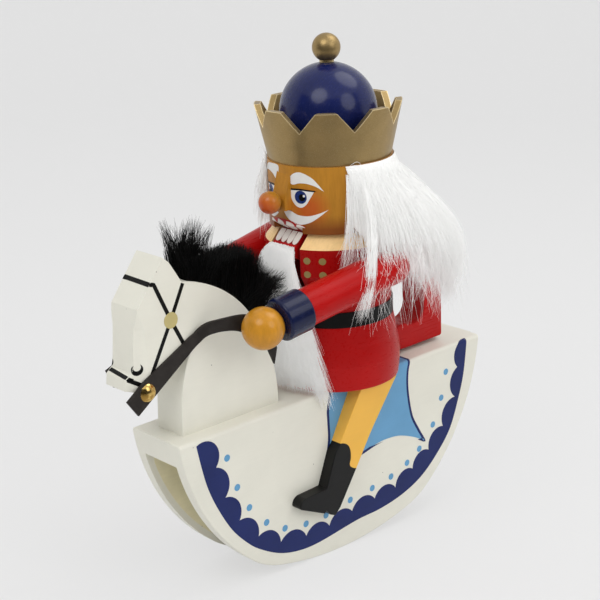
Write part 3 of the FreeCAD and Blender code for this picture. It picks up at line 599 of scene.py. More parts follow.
def make_gold(colors):
    """Bronze-gold paint with flakes, lighter along its edges."""
    shader = new_shader("gold_paint")
    place = horse_millimetres(shader)
    clouds = noise(place, 0.06, 4)
    flakes = noise(place, 3.0, 2)
    base = blended(ranged(clouds, 0.35, 0.7), darker(colors.gold, 0.88), darker(colors.gold, 1.15))
    base = blended(ranged(flakes, 0.5, 0.75, 0, 0.35), base, (0.75, 0.6, 0.34))
    bevel = add_node(shader, "ShaderNodeBevel", {"Radius": 0.001}, samples=6).outputs["Normal"]
    normal = add_node(shader, "ShaderNodeNewGeometry").outputs["Normal"]
    # every edge of the gold is made lighter, evenly all along it
    worn = ranged(vectors("DOT_PRODUCT", bevel, normal)["Value"], 0.985, 0.9)
    feed(shader, {"Base Color": blended(worn, base, (0.95, 0.78, 0.45)), "Metallic": 0.9,
                  "Roughness": ranged(clouds, 0.3, 0.7, 0.34, 0.46)})
    raise_surface(shader, flakes, 0.25, 0.00006)


def make_fur(name, color, roughness, shine, painted_glow=0.0):
    """Fine fur, a little darker in patches; it glows a little by itself, painted light for the light white
    fibres pass on.
    """
    shader = new_shader(name)
    locks = ranged(noise(horse_millimetres(shader), 0.35, 3), 0.3, 0.6)
    # painted light: the fur glows with its own colour, as strong as painted_glow
    feed(shader, {
        "Base Color": blended(locks, darker(color, 0.97), color), "Roughness": roughness,
        "Specular IOR Level": shine, "Emission Color": color, "Emission Strength": painted_glow})


def make_coat(colors):
    """Red coat with a gold collar, its red darkened as painted shade, and painted shade in the lever's slot.
    """
    # painted shade: the torso's red is 0.85 of the sleeves' red, for the shade of the beard and hair over it
    shader, red = painted("coat_paint", darker(colors.red, 0.85), 0.3, 0.3, 0.14)
    place = split(horse_millimetres(shader))
    collar_edge, slot_half, soft = 93.5, 13.25, 0.05
    above = ranged(place["Z"], collar_edge - soft, collar_edge + soft)
    gold = paint_layer(shader, colors.collar_gold, (0.3, 0.15, 0.03), 0.8, 0.09, 0.3)
    # painted shade: the slot's surfaces between the middle and its wall at the horse's left are painted
    # nearly black
    slot_shade = arithmetic("MULTIPLY", ranged(place["X"], slot_half + soft, slot_half),
                         ranged(place["X"], 0, 0.5))
    coat = blended(above, red, gold["Color"])
    feed(shader, {"Base Color": blended(slot_shade, coat, (0.09, 0.003, 0.005))})


BOOT_TOP = (     # the line between boot and trousers, (z, y) from the front of the leg down and back
    (-33.5, -13.0), (-34.6, -8.5), (-36.8, -4.8), (-40.4, -2.7), (-46.9, -2.2), (-51.5, -3.2),
    (-53.2, -2.0), (-55.5, 2.4), (-56.5, 12.0))


def make_leg_paint(colors):
    """Ochre trousers above the curved top of a black boot."""
    shader, ochre = painted("leg_paint", colors.ochre, 0.42, 0.15, 0.25)
    place = split(horse_millimetres(shader))
    low, high, front, back = -60.0, -30.0, -20.0, 20.0
    curve = add_node(shader, "ShaderNodeFloatCurve", {"Value": ranged(place["Z"], low, high)})
    line = curve.mapping.curves[0]
    line.points[0].location, line.points[1].location = (0, 1), (1, 0)
    for z, y in sorted(BOOT_TOP):
        line.points.new((z - low) / (high - low), (y - front) / (back - front))
    curve.mapping.update()
    edge = ranged(curve.outputs["Value"], 0, 1, front, back)
    boot = ranged(arithmetic("SUBTRACT", edge, place["Y"]), -0.1, 0.1)
    black = paint_layer(shader, colors.black, (0.1, 0.1, 0.1), 0.5, 0.05, 0.45)
    feed(shader, {"Base Color": blended(boot, ochre, black["Color"])})


def make_skin(colors):
    """Varnished face, blushed on the cheeks and darker at the chin."""
    shader, skin = varnished("face_varnish", colors.skin, 0.6, 0.5, (0.8, 0.8, 0.08), 0.22, 0.12)
    place = horse_millimetres(shader)
    cheek_turn, cheek_z = math.radians(26), 119
    for sign in (LEFT, RIGHT):
        cheek = (sign * FACE_RADIUS * math.sin(cheek_turn),
                 RIDER_Y - FACE_RADIUS * math.cos(cheek_turn), cheek_z)
        away = vectors("DISTANCE", place, cheek)["Value"]
        skin = blended(ranged(away, 15, 4, 0, 0.75), skin, colors.blush)
    chin = ranged(split(place)["Z"], 115, 106, 0, 0.8)
    feed(shader, {"Base Color": blended(chin, skin, (0.19, 0.04, 0.01))})


def make_nose_varnish(colors):
    """Varnished ball nose, red towards its tip."""
    shader, skin = varnished("nose_varnish", colors.skin, 0.6, 0.4, (0.8, 0.8, 0.1), 0.16, 0.35)
    place = split(horse_millimetres(shader))
    back = arithmetic("ADD", place["Y"], arithmetic("MULTIPLY", place["Z"], 0.6))
    tip = ranged(back, 44.0, 33.0, 0, 0.72)
    feed(shader, {"Base Color": blended(tip, skin, (0.56, 0.05, 0.02))})


def make_leather(colors):
    """Smooth dark leather with a fine grain."""
    shader = new_shader("strap_leather")
    place = horse_millimetres(shader)
    cells = add_node(shader, "ShaderNodeTexVoronoi", {"Vector": place, "Scale": 1.6},
                     feature="DISTANCE_TO_EDGE")
    wear = noise(place, 0.12, 4)
    worn = blended(ranged(wear, 0.4, 0.75), colors.leather, (0.035, 0.03, 0.027))
    feed(shader, {"Base Color": worn, "Roughness": ranged(wear, 0.3, 0.7, 0.5, 0.62),
                  "Specular IOR Level": 0.2})
    raise_surface(shader, cells.outputs["Distance"], 0.4, 0.0001)


def make_brass(colors):
    """Polished brass, dulled a little in patches."""
    shader = new_shader("brass")
    dull = noise(horse_millimetres(shader), 0.25, 2)
    dulled = blended(ranged(dull, 0.35, 0.6), colors.brass, (0.4, 0.24, 0.06))
    feed(shader, {"Base Color": dulled, "Metallic": 1.0, "Roughness": ranged(dull, 0.3, 0.7, 0.14, 0.32)})


def make_steel():
    """Zinc-plated steel of the screws."""
    shader = new_shader("steel")
    spangle = noise(horse_millimetres(shader), 1.5, 3)
    feed(shader, {"Base Color": (0.6, 0.6, 0.62), "Metallic": 1.0,
                  "Roughness": ranged(spangle, 0.3, 0.7, 0.25, 0.45)})


PAINTS = {       # finish: colour, gloss, drift, and where given shine, size of the specks, clear coat
    "cream_paint": ("cream", 0.4, 0.12, 0.35, 0.035),
    "inner_wash": ("inside", 0.55, 0.4, 0.35, 0.04),
    "red_paint": ("red", 0.3, 0.3, 0.14),
    "navy_paint": ("navy", 0.25, 0.5, 0.2, 0.0, 0.2),
    "dome_paint": ("dome", 0.25, 0.5, 0.2, 0.0, 0.3),
    "black_paint": ("black", 0.35, 0.5, 0.15),
    "scallop_paint": ("scallop_blue", 0.4, 0.7, 0.2, 0.03),
    "dot_paint": ("dot_blue", 0.4, 0.3),
    "cloth_paint": ("cloth_blue", 0.4, 0.25),
    "button_paint": ("button_gold", 0.35, 0.4),
    "white_paint": ((0.8, 0.8, 0.78), 0.35, 0.1),
    "tooth_paint": ((0.82, 0.76, 0.7), 0.3, 0.3),
    "mouth_paint": ((0.22, 0.006, 0.005), 0.35, 0.3, 0.15),
    "lip_paint": ((0.4, 0.012, 0.01), 0.35, 0.3, 0.2),
    "iris_paint": ((0.01, 0.03, 0.16), 0.3, 0.4),
    "disc_paint": ((0.56, 0.47, 0.2), 0.35, 0.5),
}

SOLID_FINISHES = {
    "cream_paint": ("left_rocker_panel", "right_rocker_panel", "seat_board", "horse_neck_and_head"),
    "red_paint": ("coat_skirt", "left_sleeve", "right_sleeve", "jaw_lever"),
    "coat_paint": ("coat_torso",),
    "black_paint": ("coat_belt",),
    "navy_paint": ("left_cuff", "right_cuff"),
    "dome_paint": ("crown_dome",),
    "gold_paint": ("crown_ring", "crown_finial"),
    "leg_paint": ("left_leg", "right_leg"),
    "face_varnish": ("rider_head", "nose_bridge"),
    "nose_varnish": ("nose_ball",),
    "hand_varnish": ("left_hand", "right_hand"),
    "strap_leather": ("left_rein", "right_rein"),
    "brass": ("left_rein_nail", "right_rein_nail"),
    "steel": ("seat_screws",),
    "bare_wood": ("seat_dowels", "neck_dowels", "pivot_pin", "shoulder_dowels", "wrist_dowels", "leg_dowels",
                  "torso_dowel", "collar_dowels", "crown_dowel"),
    "white_fur": ("rider_hair", "rider_beard"),
    "black_fur": ("horse_mane", "horse_forelock"),
}


class HORSE_OT_finishes(bpy.types.Operator):
    """Makes every paint, varnish, leather, metal and fur, and gives the solids theirs"""

    bl_idname = "rocking_horse.finishes"
    bl_label = "Finishes"

    def execute(self, context):
        colors = context.scene.horse_colors
        GROUPS["paint"], GROUPS["grain"] = make_paint_group(), make_grain_group()
        for name, (color, *values) in PAINTS.items():
            painted(name, getattr(colors, color) if isinstance(color, str) else color, *values)
        varnished("hand_varnish", colors.hand, 0.55, 0.5, (0.5, 0.5, 0.12), 0.16, 0.35)
        varnished("bare_wood", colors.wood, 0.6, 0.6, (0.1, 0.9, 0.9), 0.4, 0.0)
        for make in (make_nose_varnish, make_gold, make_coat, make_leg_paint, make_skin, make_leather,
                     make_brass):
            make(colors)
        make_steel()
        # painted light: the white fur and its dense core glow a little
        make_fur("white_fur", colors.white_fur, 0.6, 0.3, painted_glow=0.115)
        make_fur("dense_fur", colors.white_fur, 0.8, 0.1, painted_glow=0.04)
        make_fur("black_fur", colors.black_fur, 0.5, 0.12)
        for finish, nodes in SOLID_FINISHES.items():
            for node in nodes:
                slots = frame["nodes"][node].data.materials
                slots.clear()
                slots.append(MATERIALS[finish])
        return {"FINISHED"}


# ---------------------------------------------------------------- paint on the rockers

BAND_EDGE = [    # outer edge of the scalloped band from the front to the rear, (y, z)
    (-119.6, -3.3), (-116.5, -18.6), (-112.7, -33.1), (-106, -48.9), (-96.1, -66.1), (-84.7, -79.1),
    (-74.8, -87.2), (-59.3, -95.8), (-43.1, -100.2), (-24.4, -101), (8.9, -97.7), (30.5, -97.3),
    (51.6, -94.3), (70.6, -87.6), (86.2, -76.6), (100.8, -61.2), (110.2, -40.3), (115.6, -23), (119.1, 1.0)]
CUSPS = [        # points between the band's lobes
    (-105.9, -21.3), (-100.1, -43), (-90.2, -61.9), (-75.8, -78.1), (-57.8, -88.8), (-36.1, -92.5),
    (-15.7, -92.8), (5.1, -89.7), (26.2, -88.1), (46.2, -87), (63.2, -78.7), (79.3, -70), (94, -57),
    (106.3, -38.9), (109.1, -17.9)]
DOTS = [
    (-97.1, -18), (-90.5, -39.6), (-81.9, -56.1), (-68.7, -71), (-53.8, -80.5), (-35.9, -84),
    (-18.3, -84.3), (3.7, -81.2), (24.2, -79.8), (42.1, -77.5), (57.8, -72.7), (70, -66.3), (83.8, -52.8),
    (92.5, -35.7), (97.4, -18.1)]
END_BULGES = (9.5, 7.8)    # of the first and the last lobe, mm

CLOTH_FRONT = [(-10.8, 0.5), (-13.4, -12.2), (-13.4, -20.9), (-13.4, -33.1), (-16.5, -46), (-22.5, -61.8)]
CLOTH_BOTTOM = [(-22.5, -61.8), (-8, -57.8), (5, -54), (18.9, -51.2), (29.6, -49.3), (40.5, -49.1),
                (51.4, -50.7), (64.9, -56), (75.6, -62.2)]
CLOTH_REAR = [(75.6, -62.2), (68.8, -51.1), (62.8, -39.1), (59.5, -20.6), (59.8, -7.1), (62.5, 1.2)]

ROCKER_DEPTH = 112.5                       # of the lower edge below the board's top, mm
ROCKER_RADII = (224.0, 59.5, 141.7)        # of its arcs, from the middle to an end, mm
ROCKER_TURNS = (15.0, 38.7, 90.0)          # where each of them ends, degrees from straight down


def scallops(lobe_bulge):
    """Outline of the scalloped band, in (y, z)."""
    band = smooth_line(BAND_EDGE)[::-1]
    ends = [BAND_EDGE[0], *CUSPS, BAND_EDGE[-1]]
    bulges = [lobe_bulge * math.dist(start, end) for start, end in zip(ends, ends[1:])]
    bulges[0], bulges[-1] = END_BULGES
    for start, end, bulge in zip(ends, ends[1:], bulges):
        band += arc_points(start, end, bulge)[1:-1] + [end]
    return band[:-1]


def cloth_edge():
    """Edge of the saddle cloth on one flank, in (y, down), from the board's middle round to it again."""
    line = smooth_line(CLOTH_FRONT) + smooth_line(CLOTH_BOTTOM)[1:] + smooth_line(CLOTH_REAR)[1:]
    edge = [(y, down_flank(z)) for y, z in line]
    return [(edge[0][0], 0.0), *edge, (edge[-1][0], 0.0)]


def rocker_outline(inset, top):
    """The rocker's outline set inwards, below the height top."""
    hub = np.array((0.0, ROCKER_RADII[0] - ROCKER_DEPTH))
    half, start = [], 0.0
    for radius, turn, following in zip(ROCKER_RADII, ROCKER_TURNS, (*ROCKER_RADII[1:], 0.0)):
        angles = np.radians(np.linspace(start, turn, 16))
        ways = np.stack((np.sin(angles), -np.cos(angles)), axis=1)
        half += [tuple(hub + way * (radius - inset)) for way in ways]
        hub = hub + ways[-1] * (radius - following)
        start = turn
    half = [point for point in half if point[1] < top]
    end_y = half[-1][0]
    return [(-y, z) for y, z in reversed(half[1:])] + half + [(end_y, top), (-end_y, top)]


class HORSE_OT_rocker_paint(bpy.types.Operator):
    """Paints the scalloped bands, dots and saddle cloth on both rocker panels, and their insides"""

    bl_idname = "rocking_horse.rocker_paint"
    bl_label = "Rocker paint"

    def execute(self, context):
        sizes = context.scene.horse_sizes
        band = [(y, down_flank(z)) for y, z in scallops(sizes.lobe_bulge)]
        edge = cloth_edge()
        hem = stroke(edge, millimetres(sizes.cloth_line), 2.0)
        bare_rim, under_board = 4.0, float(measured("seat_board")[0][2]) - 0.3
        inside = rocker_outline(bare_rim, under_board)
        for side, sign in SIDES:
            flank = on_flank(sign)
            paint_coat(side + "_scalloped_band", band, flank, "scallop_paint", 2.2)
            for number, (y, z) in enumerate(DOTS, start=1):
                dot = ring(y, down_flank(z), millimetres(sizes.dot_diameter) / 2)
                paint_coat(f"{side}_band_dot_{number}", dot, flank, "dot_paint", 9)
            paint_coat(side + "_saddle_cloth", edge, flank, "cloth_paint", 2.2)
            paint_coat(side + "_cloth_outline", hem, flank, "scallop_paint", 2.2, coats=1.5)
            paint_coat(side + "_inner_wash", inside, inside_panel(sign), "inner_wash", 12)
        return {"FINISHED"}


# ---------------------------------------------------------------- paint on the horse's head

CROSSING = (-123.5, 73.5)      # where the straps of the bridle meet, (y, z)
STRAPS = {                     # the others run from or to it
    "cheek": [(-137.4, 98.2), (-133.8, 97.2), CROSSING], "poll": [(-113.3, 93.4), CROSSING],
    "throat": [CROSSING, (-114.6, 55.4)], "jaw": [CROSSING, (-139.4, 44.9)],
    "mouth": [(-155.8, 45.6), (-146.6, 40.0)]}
CORNERS = (("brow", (-136.4, 97.9), 0.1), ("nose", (-155.4, 44.7), 0.8))      # name, (y, z) and drop
NOSTRIL = (-148.4, 49.7)
DISC_RADIUS, NOSTRIL_RADIUS = 4.9, 3.45


class HORSE_OT_bridle(bpy.types.Operator):
    """Paints the bridle, its gold discs and the nostrils on the horse's head"""

    bl_idname = "rocking_horse.bridle"
    bl_label = "Bridle"

    def execute(self, context):
        width = millimetres(context.scene.horse_sizes.bridle_line)
        head, up = "horse_neck_and_head", (0, 0, 1)
        for side, sign in SIDES:
            flat = thrown_onto(head, (sign * 40, 0, 0), (0, 1, 0), up, (-sign, 0, 0))
            for name, line in STRAPS.items():
                paint_coat(f"{side}_bridle_{name}", stroke(line, width, 1.5), flat, "black_paint", 1.5)
            disc = ring(*CROSSING, DISC_RADIUS)
            paint_coat(side + "_bridle_disc", disc, flat, "disc_paint", 3, coats=2)
            way = Vector((-sign * 0.7, 0.7, 0))
            for name, (y, z), drop in CORNERS:
                start = Vector((sign * HEAD_SIDE, y, z)) - way * 20
                edge = thrown_onto(head, start, (sign * 0.7, 0.7, 0), up, way)
                corner = stroke([(-1.3, drop), (1.3, -drop)], width * 0.8, 0.8)
                paint_coat(f"{side}_{name}band_corner", corner, edge, "black_paint", 0.8)
            way = Vector((-sign * 0.8, 0.6, 0))
            start = Vector(flat(*NOSTRIL, 0)) - way * 30
            slanted = thrown_onto(head, start, (sign * 0.6, 0.8, 0), up, way)
            paint_coat(side + "_nostril", crescent(NOSTRIL_RADIUS), slanted, "black_paint", 0.7)
        brow = thrown_onto(head, (0, -220, 0), (1, 0, 0), up, (0, 1, 0))
        band = stroke([(-12.0, 98.2), (12.0, 97.9)], width * 0.9, 1.5)
        paint_coat("browband", band, brow, "black_paint", 1.5)
        lip, way = Vector((0, -154, 46.5)), Vector((0, 0.707, -0.707))
        ledge = thrown_onto(head, lip - way * 40, (1, 0, 0), (0, 0.707, 0.707), way)
        paint_coat("noseband", stroke([(-9.0, 0.7), (9.1, -1.0)], width, 1.0), ledge, "black_paint", 1.0)
        return {"FINISHED"}


def crescent(radius):
    """Crescent about (0, 0) with its horns upwards."""
    half_gap = 40          # from the top to a horn, degrees
    bite, lift = radius * 0.66, radius * 0.42
    outer = np.radians(np.linspace(90 + half_gap, 450 - half_gap, 26))
    inner = np.radians(np.linspace(450 - half_gap * 1.3, 90 + half_gap * 1.3, 20))
    return ([(radius * math.cos(a), radius * math.sin(a)) for a in outer]
            + [(bite * math.cos(a), lift + bite * math.sin(a)) for a in inner])


# ---------------------------------------------------------------- the rider's face, mouth and buttons

# Outlines on the left half of the face: degrees round from the front, height, and 1 at a sharp corner.
BROW = [(7.0, 135.0), (9.0, 138.4), (14.5, 140.8), (21.0, 140.9), (30.0, 138.0), (36.5, 133.4),
        (40.5, 129.8, 1), (34.0, 132.6), (26.0, 134.3), (18.0, 134.4), (11.0, 133.2)]
RIGHT_BROW = [(7.6, 135.4), (6.8, 139.0), (7.0, 143.4), (16.0, 143.8), (28.0, 142.6), (36.0, 139.4),
              (43.0, 134.8, 1), (35.0, 137.4), (26.0, 138.4), (17.0, 137.4), (11.0, 134.6)]
EYE = [(6.8, 130.2, 1), (18.6, 130.5), (32.0, 129.8, 1), (28.2, 125.6), (24.4, 121.6), (19.6, 119.3),
       (14.4, 119.9), (10.3, 122.8), (8.0, 126.6)]
LID = [(6.2, 130.6, 1), (18.6, 131.0), (32.8, 130.2, 1), (32.0, 129.5), (18.6, 130.0), (6.8, 129.7)]
MOUSTACHE = [(-0.4, 115.6), (3.2, 112.0), (9.0, 109.6), (17.2, 108.4), (27.1, 110.2), (35.0, 113.6),
             (44.0, 118.4, 1), (34.7, 115.8), (25.4, 114.2), (15.5, 114.4), (7.0, 116.4)]
RIGHT_MOUSTACHE = [(9.0, 113.6, 1), (14.0, 111.0), (20.0, 109.6), (27.1, 110.6), (35.0, 113.6),
                   (44.0, 118.4, 1), (34.7, 115.8), (25.4, 114.8), (16.0, 114.6)]
ROUNDS = {       # degrees, height, radius, finish and coats
    "iris": (18.8, 125.8, 4.1, "iris_paint", 1.6), "pupil": (20.2, 125.6, 2.2, "black_paint", 2.2),
    "glint": (22.2, 126.7, 0.75, "white_paint", 2.8)}
GLANCE = 4.2     # how much further round the right eye's parts lie, degrees


def face_outline(corners):
    """Smooth outline on the face."""
    return smooth_loop([(degrees * FACE_DEGREE, z, *sharp) for degrees, z, *sharp in corners])


class HORSE_OT_face(bpy.types.Operator):
    """Paints the rider's brows, eyes and moustache"""

    bl_idname = "rocking_horse.face"
    bl_label = "Face"

    def execute(self, context):
        face = round_rider(FACE_RADIUS)
        for side, sign in SIDES:
            left = sign == LEFT
            layers = [(name, face_outline(corners), finish, coats) for name, corners, finish, coats in (
                ("brow", BROW if left else RIGHT_BROW, "white_paint", 1),
                ("eye_white", EYE, "white_paint", 1), ("lid_line", LID, "black_paint", 1.6),
                ("moustache", MOUSTACHE if left else RIGHT_MOUSTACHE, "white_paint", 1))]
            for name, (degrees, z, radius, finish, coats) in ROUNDS.items():
                around = degrees * FACE_DEGREE + (0 if left else GLANCE * FACE_DEGREE)
                layers.append((name, ring(around, z, radius), finish, coats))
            for name, outline, finish, coats in layers:
                if not left:
                    outline = [(-u, v) for u, v in reversed(outline)]
                paint_coat(f"{side}_{name}", outline, face, finish, 1.5, coats)
        return {"FINISHED"}


JAW_TOP, JAW_BOTTOM = (-15.9, 102.2), (-23.8, 94.45)      # of the slanted front of the lower jaw, (y, z)
MOUTH_LOW, MOUTH_HIGH, MOUTH_RADIUS = 102.5, 107.0, 33.0      # the bevel round the mouth
LIP = [(-15.0, 102.8, 1), (15.0, 102.8, 1), (15.6, 107.4, 1), (10.0, 109.0), (4.0, 110.2), (-4.0, 110.4),
       (-10.0, 109.6), (-15.6, 107.6, 1)]
LOWER_TEETH = (-7.65, -2.55, 2.55, 7.65)
UPPER_TEETH = ((-12.6, 108.5), (-4.2, 109.5), (4.2, 109.3), (12.4, 108.3))      # middle and top


class HORSE_OT_mouth(bpy.types.Operator):
    """Paints the upper teeth over the mouth and the lower teeth on the moving jaw"""

    bl_idname = "rocking_horse.mouth"
    bl_label = "Mouth"

    def execute(self, context):
        slope = math.dist(JAW_TOP, JAW_BOTTOM)
        along_y, along_z = ((end - start) / slope for start, end in zip(JAW_TOP, JAW_BOTTOM))

        def jaw_front(x, down, height):
            return (x, JAW_TOP[0] + along_y * down + along_z * height,
                    JAW_TOP[1] + along_z * down - along_y * height)

        def over_mouth(around, z, height):
            """On the bevel round the mouth and on the face above it."""
            turn = around / FACE_RADIUS
            reach = FACE_RADIUS + height
            if z < MOUTH_HIGH:
                share = (z - MOUTH_LOW) / (MOUTH_HIGH - MOUTH_LOW)
                reach = MOUTH_RADIUS + share * (FACE_RADIUS - MOUTH_RADIUS) + height * 0.7
                z -= height * 0.7
            return reach * math.sin(turn), RIDER_Y - reach * math.cos(turn), z

        top, bottom = 0.2, slope - 1.6
        gums = [(-LEVER_SIDE, top), (LEVER_SIDE, top), (LEVER_SIDE, bottom), (-LEVER_SIDE, bottom)]
        paint_coat("lower_gums", gums, jaw_front, "mouth_paint", 6, body=JAW_BODY)
        for number, x in enumerate(LOWER_TEETH, start=1):
            tooth = smooth_loop([(x - 2.1, 0.4, 1), (x + 2.1, 0.4, 1), (x + 2.4, 4.0), (x + 2.2, 7.6),
                                 (x + 0.6, 9.5), (x - 1.6, 8.6), (x - 2.4, 5.0)])
            paint_coat(f"lower_tooth_{number}", tooth, jaw_front, "tooth_paint", 3, 2.5, JAW_BODY)
        paint_coat("upper_lip", smooth_loop(LIP), over_mouth, "lip_paint", 1.5)
        for number, (x, top) in enumerate(UPPER_TEETH, start=1):
            tooth = smooth_loop([(x - 3.0, top, 1), (x - 0.4, top - 0.2), (x + 2.6, top - 1.3),
                                 (x + 3.5, 105.9), (x + 2.4, 104.0), (x - 1.6, 103.6), (x - 3.0, 105.2),
                                 (x - 3.3, 107.0)])
            paint_coat(f"upper_tooth_{number}", tooth, over_mouth, "tooth_paint", 1.2, 2.5)
        return {"FINISHED"}


class HORSE_OT_buttons(bpy.types.Operator):
    """Paints the rows of gold dots down the front of the coat"""

    bl_idname = "rocking_horse.buttons"
    bl_label = "Buttons"

    def execute(self, context):
        chest_low, narrowing = 76.0, 84      # below it the radius shrinks by depth ** 2 / narrowing
        chest_radius = half_width("coat_torso")
        radius = millimetres(context.scene.horse_sizes.button_diameter) / 2

        def chest(around, z, height):
            shrink = max(0.0, chest_low - z) ** 2 / narrowing
            return round_rider(chest_radius - shrink)(around, z, height)

        places = [(sign * degrees, z) for z in (86.6, 77.9, 69.2) for degrees in (24.4, 37.8)
                  for sign in (LEFT, RIGHT)]
        for number, (degrees, z) in enumerate(places, start=1):
            paint_coat(f"coat_button_{number}", ring(degrees * FACE_DEGREE, z, radius), chest,
                       "button_paint", 2)
        return {"FINISHED"}


# ---------------------------------------------------------------- fur

class Draws:
    """Seeded random numbers, one or an array for each hair of a part."""

    def __init__(self, generator, count):
        self.generator, self.count = generator, count

    def even(self, low, high, *shape):
        return self.generator.uniform(low, high, (self.count, *shape))

    def near(self, spread, *shape):
        """About nought, two thirds of them within the spread."""
        return self.generator.normal(scale=spread, size=(self.count, *shape))

    def few(self, share):
        """True for about this share of the hairs."""
        return self.even(0, 1) < share


def together(x, y, z):
    """Places from their coordinates, each an array or a number."""
    return np.stack(np.broadcast_arrays(x, y, z), axis=-1)


def hairs(name, paths, width, finish, body, replaced):
    """Closed three-sided hairs along paths: an array of hairs, points and x, y, z."""
    count, points = paths.shape[:2]
    draws = Draws(np.random.default_rng(len(name) * 7919 + count), count)
    along = np.gradient(paths, axis=1)
    along /= np.linalg.norm(along, axis=2)[..., None] + 1e-9
    first = np.cross(along, draws.near(1, 1, 3))
    first /= np.linalg.norm(first, axis=2)[..., None] + 1e-9
    second = np.cross(along, first)
    taper = width * (1 - 0.75 * np.linspace(0, 1, points) ** 2) / 2
    taper = taper[None, :, None] * draws.even(0.7, 1.3, 1, 1)
    corners = [paths + (first * math.cos(turn) + second * math.sin(turn)) * taper
               for turn in (0, math.tau / 3, 2 * math.tau / 3)]
    vertices = in_place(np.stack(corners, axis=2).reshape(-1, 3))
    ring_start = np.arange(points - 1) * 3
    faces = []
    for side in range(3):
        a, b = ring_start + side, ring_start + (side + 1) % 3
        faces += [np.stack((a, b, b + 3), 1), np.stack((a, b + 3, a + 3), 1)]
    last = (points - 1) * 3
    one = np.concatenate([*faces, [[0, 2, 1], [last, last + 1, last + 2]]])
    every = (one[None] + (np.arange(count) * points * 3)[:, None, None]).reshape(-1, 3)
    mesh = bpy.data.meshes.new(name)
    mesh.vertices.add(len(vertices))
    mesh.vertices.foreach_set("co", vertices.astype(np.float32).ravel())
    mesh.loops.add(every.size)
    mesh.loops.foreach_set("vertex_index", every.astype(np.int32).ravel())
    mesh.polygons.add(len(every))
    mesh.polygons.foreach_set("loop_start", np.arange(0, every.size, 3, dtype=np.int32))
    mesh.polygons.foreach_set("use_smooth", np.ones(len(every), bool))
    mesh.update(calc_edges=True)
    mesh.materials.append(MATERIALS[finish])
    piece = add_object(name, mesh)
    if body:
        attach(piece, body)
    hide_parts(replaced)
    return piece


def clumped(paths, draws, clumps, pull):
    """Draws each hair towards one of the others, more so towards its tip."""
    count, points = paths.shape[:2]
    leaders = draws.generator.integers(0, count, clumps)
    roots = paths[:, 0]
    nearest = np.argmin(np.linalg.norm(roots[:, None] - roots[leaders][None], axis=2), axis=1)
    share = (np.linspace(0, 1, points) ** 1.5 * pull)[None, :, None]
    return paths * (1 - share) + paths[leaders[nearest]] * share


def wavy(paths, draws, reach):
    """Bends each hair a little, in its own way, from the root on."""
    share = np.linspace(0, 1, paths.shape[1])[None, :, None]
    phase = draws.even(0, math.tau, 1, 3)
    speed = draws.even(0.6, 1.4, 1, 3) * 1.5 * math.pi
    lean = draws.near(reach, 1, 3)
    swing = np.sin(phase + speed * share) - np.sin(phase)
    return paths + lean * (0.5 * swing + share) * share ** 0.7


def bent(start, end, lift):
    """Paths of 7 points from start to end, drawn by the lift off the middle: quadratic curves."""
    share = np.linspace(0, 1, 7)[None, :, None]
    start, via, end = (array[:, None] for array in (start, (start + end) / 2 + lift, end))
    return start * (1 - share) ** 2 + 2 * via * share * (1 - share) + end * share ** 2


def hung(places, points, shares=1.0):
    """Cubic curves from the first to the last of four places; shares of them are kept."""
    share = np.linspace(0, 1, points)[None, :, None] * np.reshape(shares, (-1, 1, 1))
    start, first, second, end = (array[:, None] for array in places)
    return (start * (1 - share) ** 3 + 3 * first * share * (1 - share) ** 2
            + 3 * second * share ** 2 * (1 - share) + end * share ** 3)


SHOULDER, HAND, ARM_RADIUS = np.array((52.0, 17.0, 81.5)), np.array((43.5, -80.9, 64.6)), 12.0
COAT_RADIUS = 43.2
LEVER_TOP = (25, 56, 78, 90, 98, 108), (87, 72, 72, 69, 62.5, 48)      # at rest: y, and the height there
PIVOT_Y, LEVER_RISE, LEVER_ROOM = 21, 0.29, 3.0      # pin, rise per mm behind it, room above it all


def off_the_arms(paths):
    """Moves what lies within a sleeve out to its surface."""
    for side in (LEFT, RIGHT):
        start, end = SHOULDER * (side, 1, 1), HAND * (side, 1, 1)
        along = end - start
        share = np.clip(((paths - start) @ along) / (along @ along), 0, 1)
        middle = start + share[..., None] * along
        away = paths - middle
        distance = np.linalg.norm(away, axis=-1, keepdims=True) + 1e-6
        paths = np.where(distance < ARM_RADIUS, middle + away / distance * ARM_RADIUS, paths)
    return paths


def off_the_coat(paths, top):
    """Moves what lies within the coat, below the height top, out to its surface."""
    flat = paths[..., :2] - (0, RIDER_Y)
    distance = np.linalg.norm(flat, axis=-1, keepdims=True) + 1e-6
    inside = (distance < COAT_RADIUS) & (paths[..., 2:] < top)
    outside = np.where(inside, flat / distance * COAT_RADIUS, flat)
    return np.concatenate((outside + (0, RIDER_Y), paths[..., 2:]), axis=-1)


def off_the_lever(paths):
    """Parts the hair over the lever at the rider's back, with room for the lever to rise."""
    gap, ease = LEVER_SIDE + 1.0, 12.0
    x, y, z = paths[..., 0], paths[..., 1], paths[..., 2]
    top = np.interp(y, *LEVER_TOP) + LEVER_ROOM + LEVER_RISE * np.maximum(y - PIVOT_Y, 0)
    side = np.where(x.mean(axis=1, keepdims=True) < 0, -1.0, 1.0)
    share = np.clip((top + ease - z) / ease, 0, 1) * (y > RIDER_Y)
    return together(x + (side * np.maximum(side * x, gap) - x) * share, y, z)


def round_head(degrees, reach, z):
    """Places by degrees round from the front, distance from the rider's axis and height."""
    turn = np.radians(degrees)
    return together(reach * np.sin(turn), RIDER_Y - reach * np.cos(turn), z)


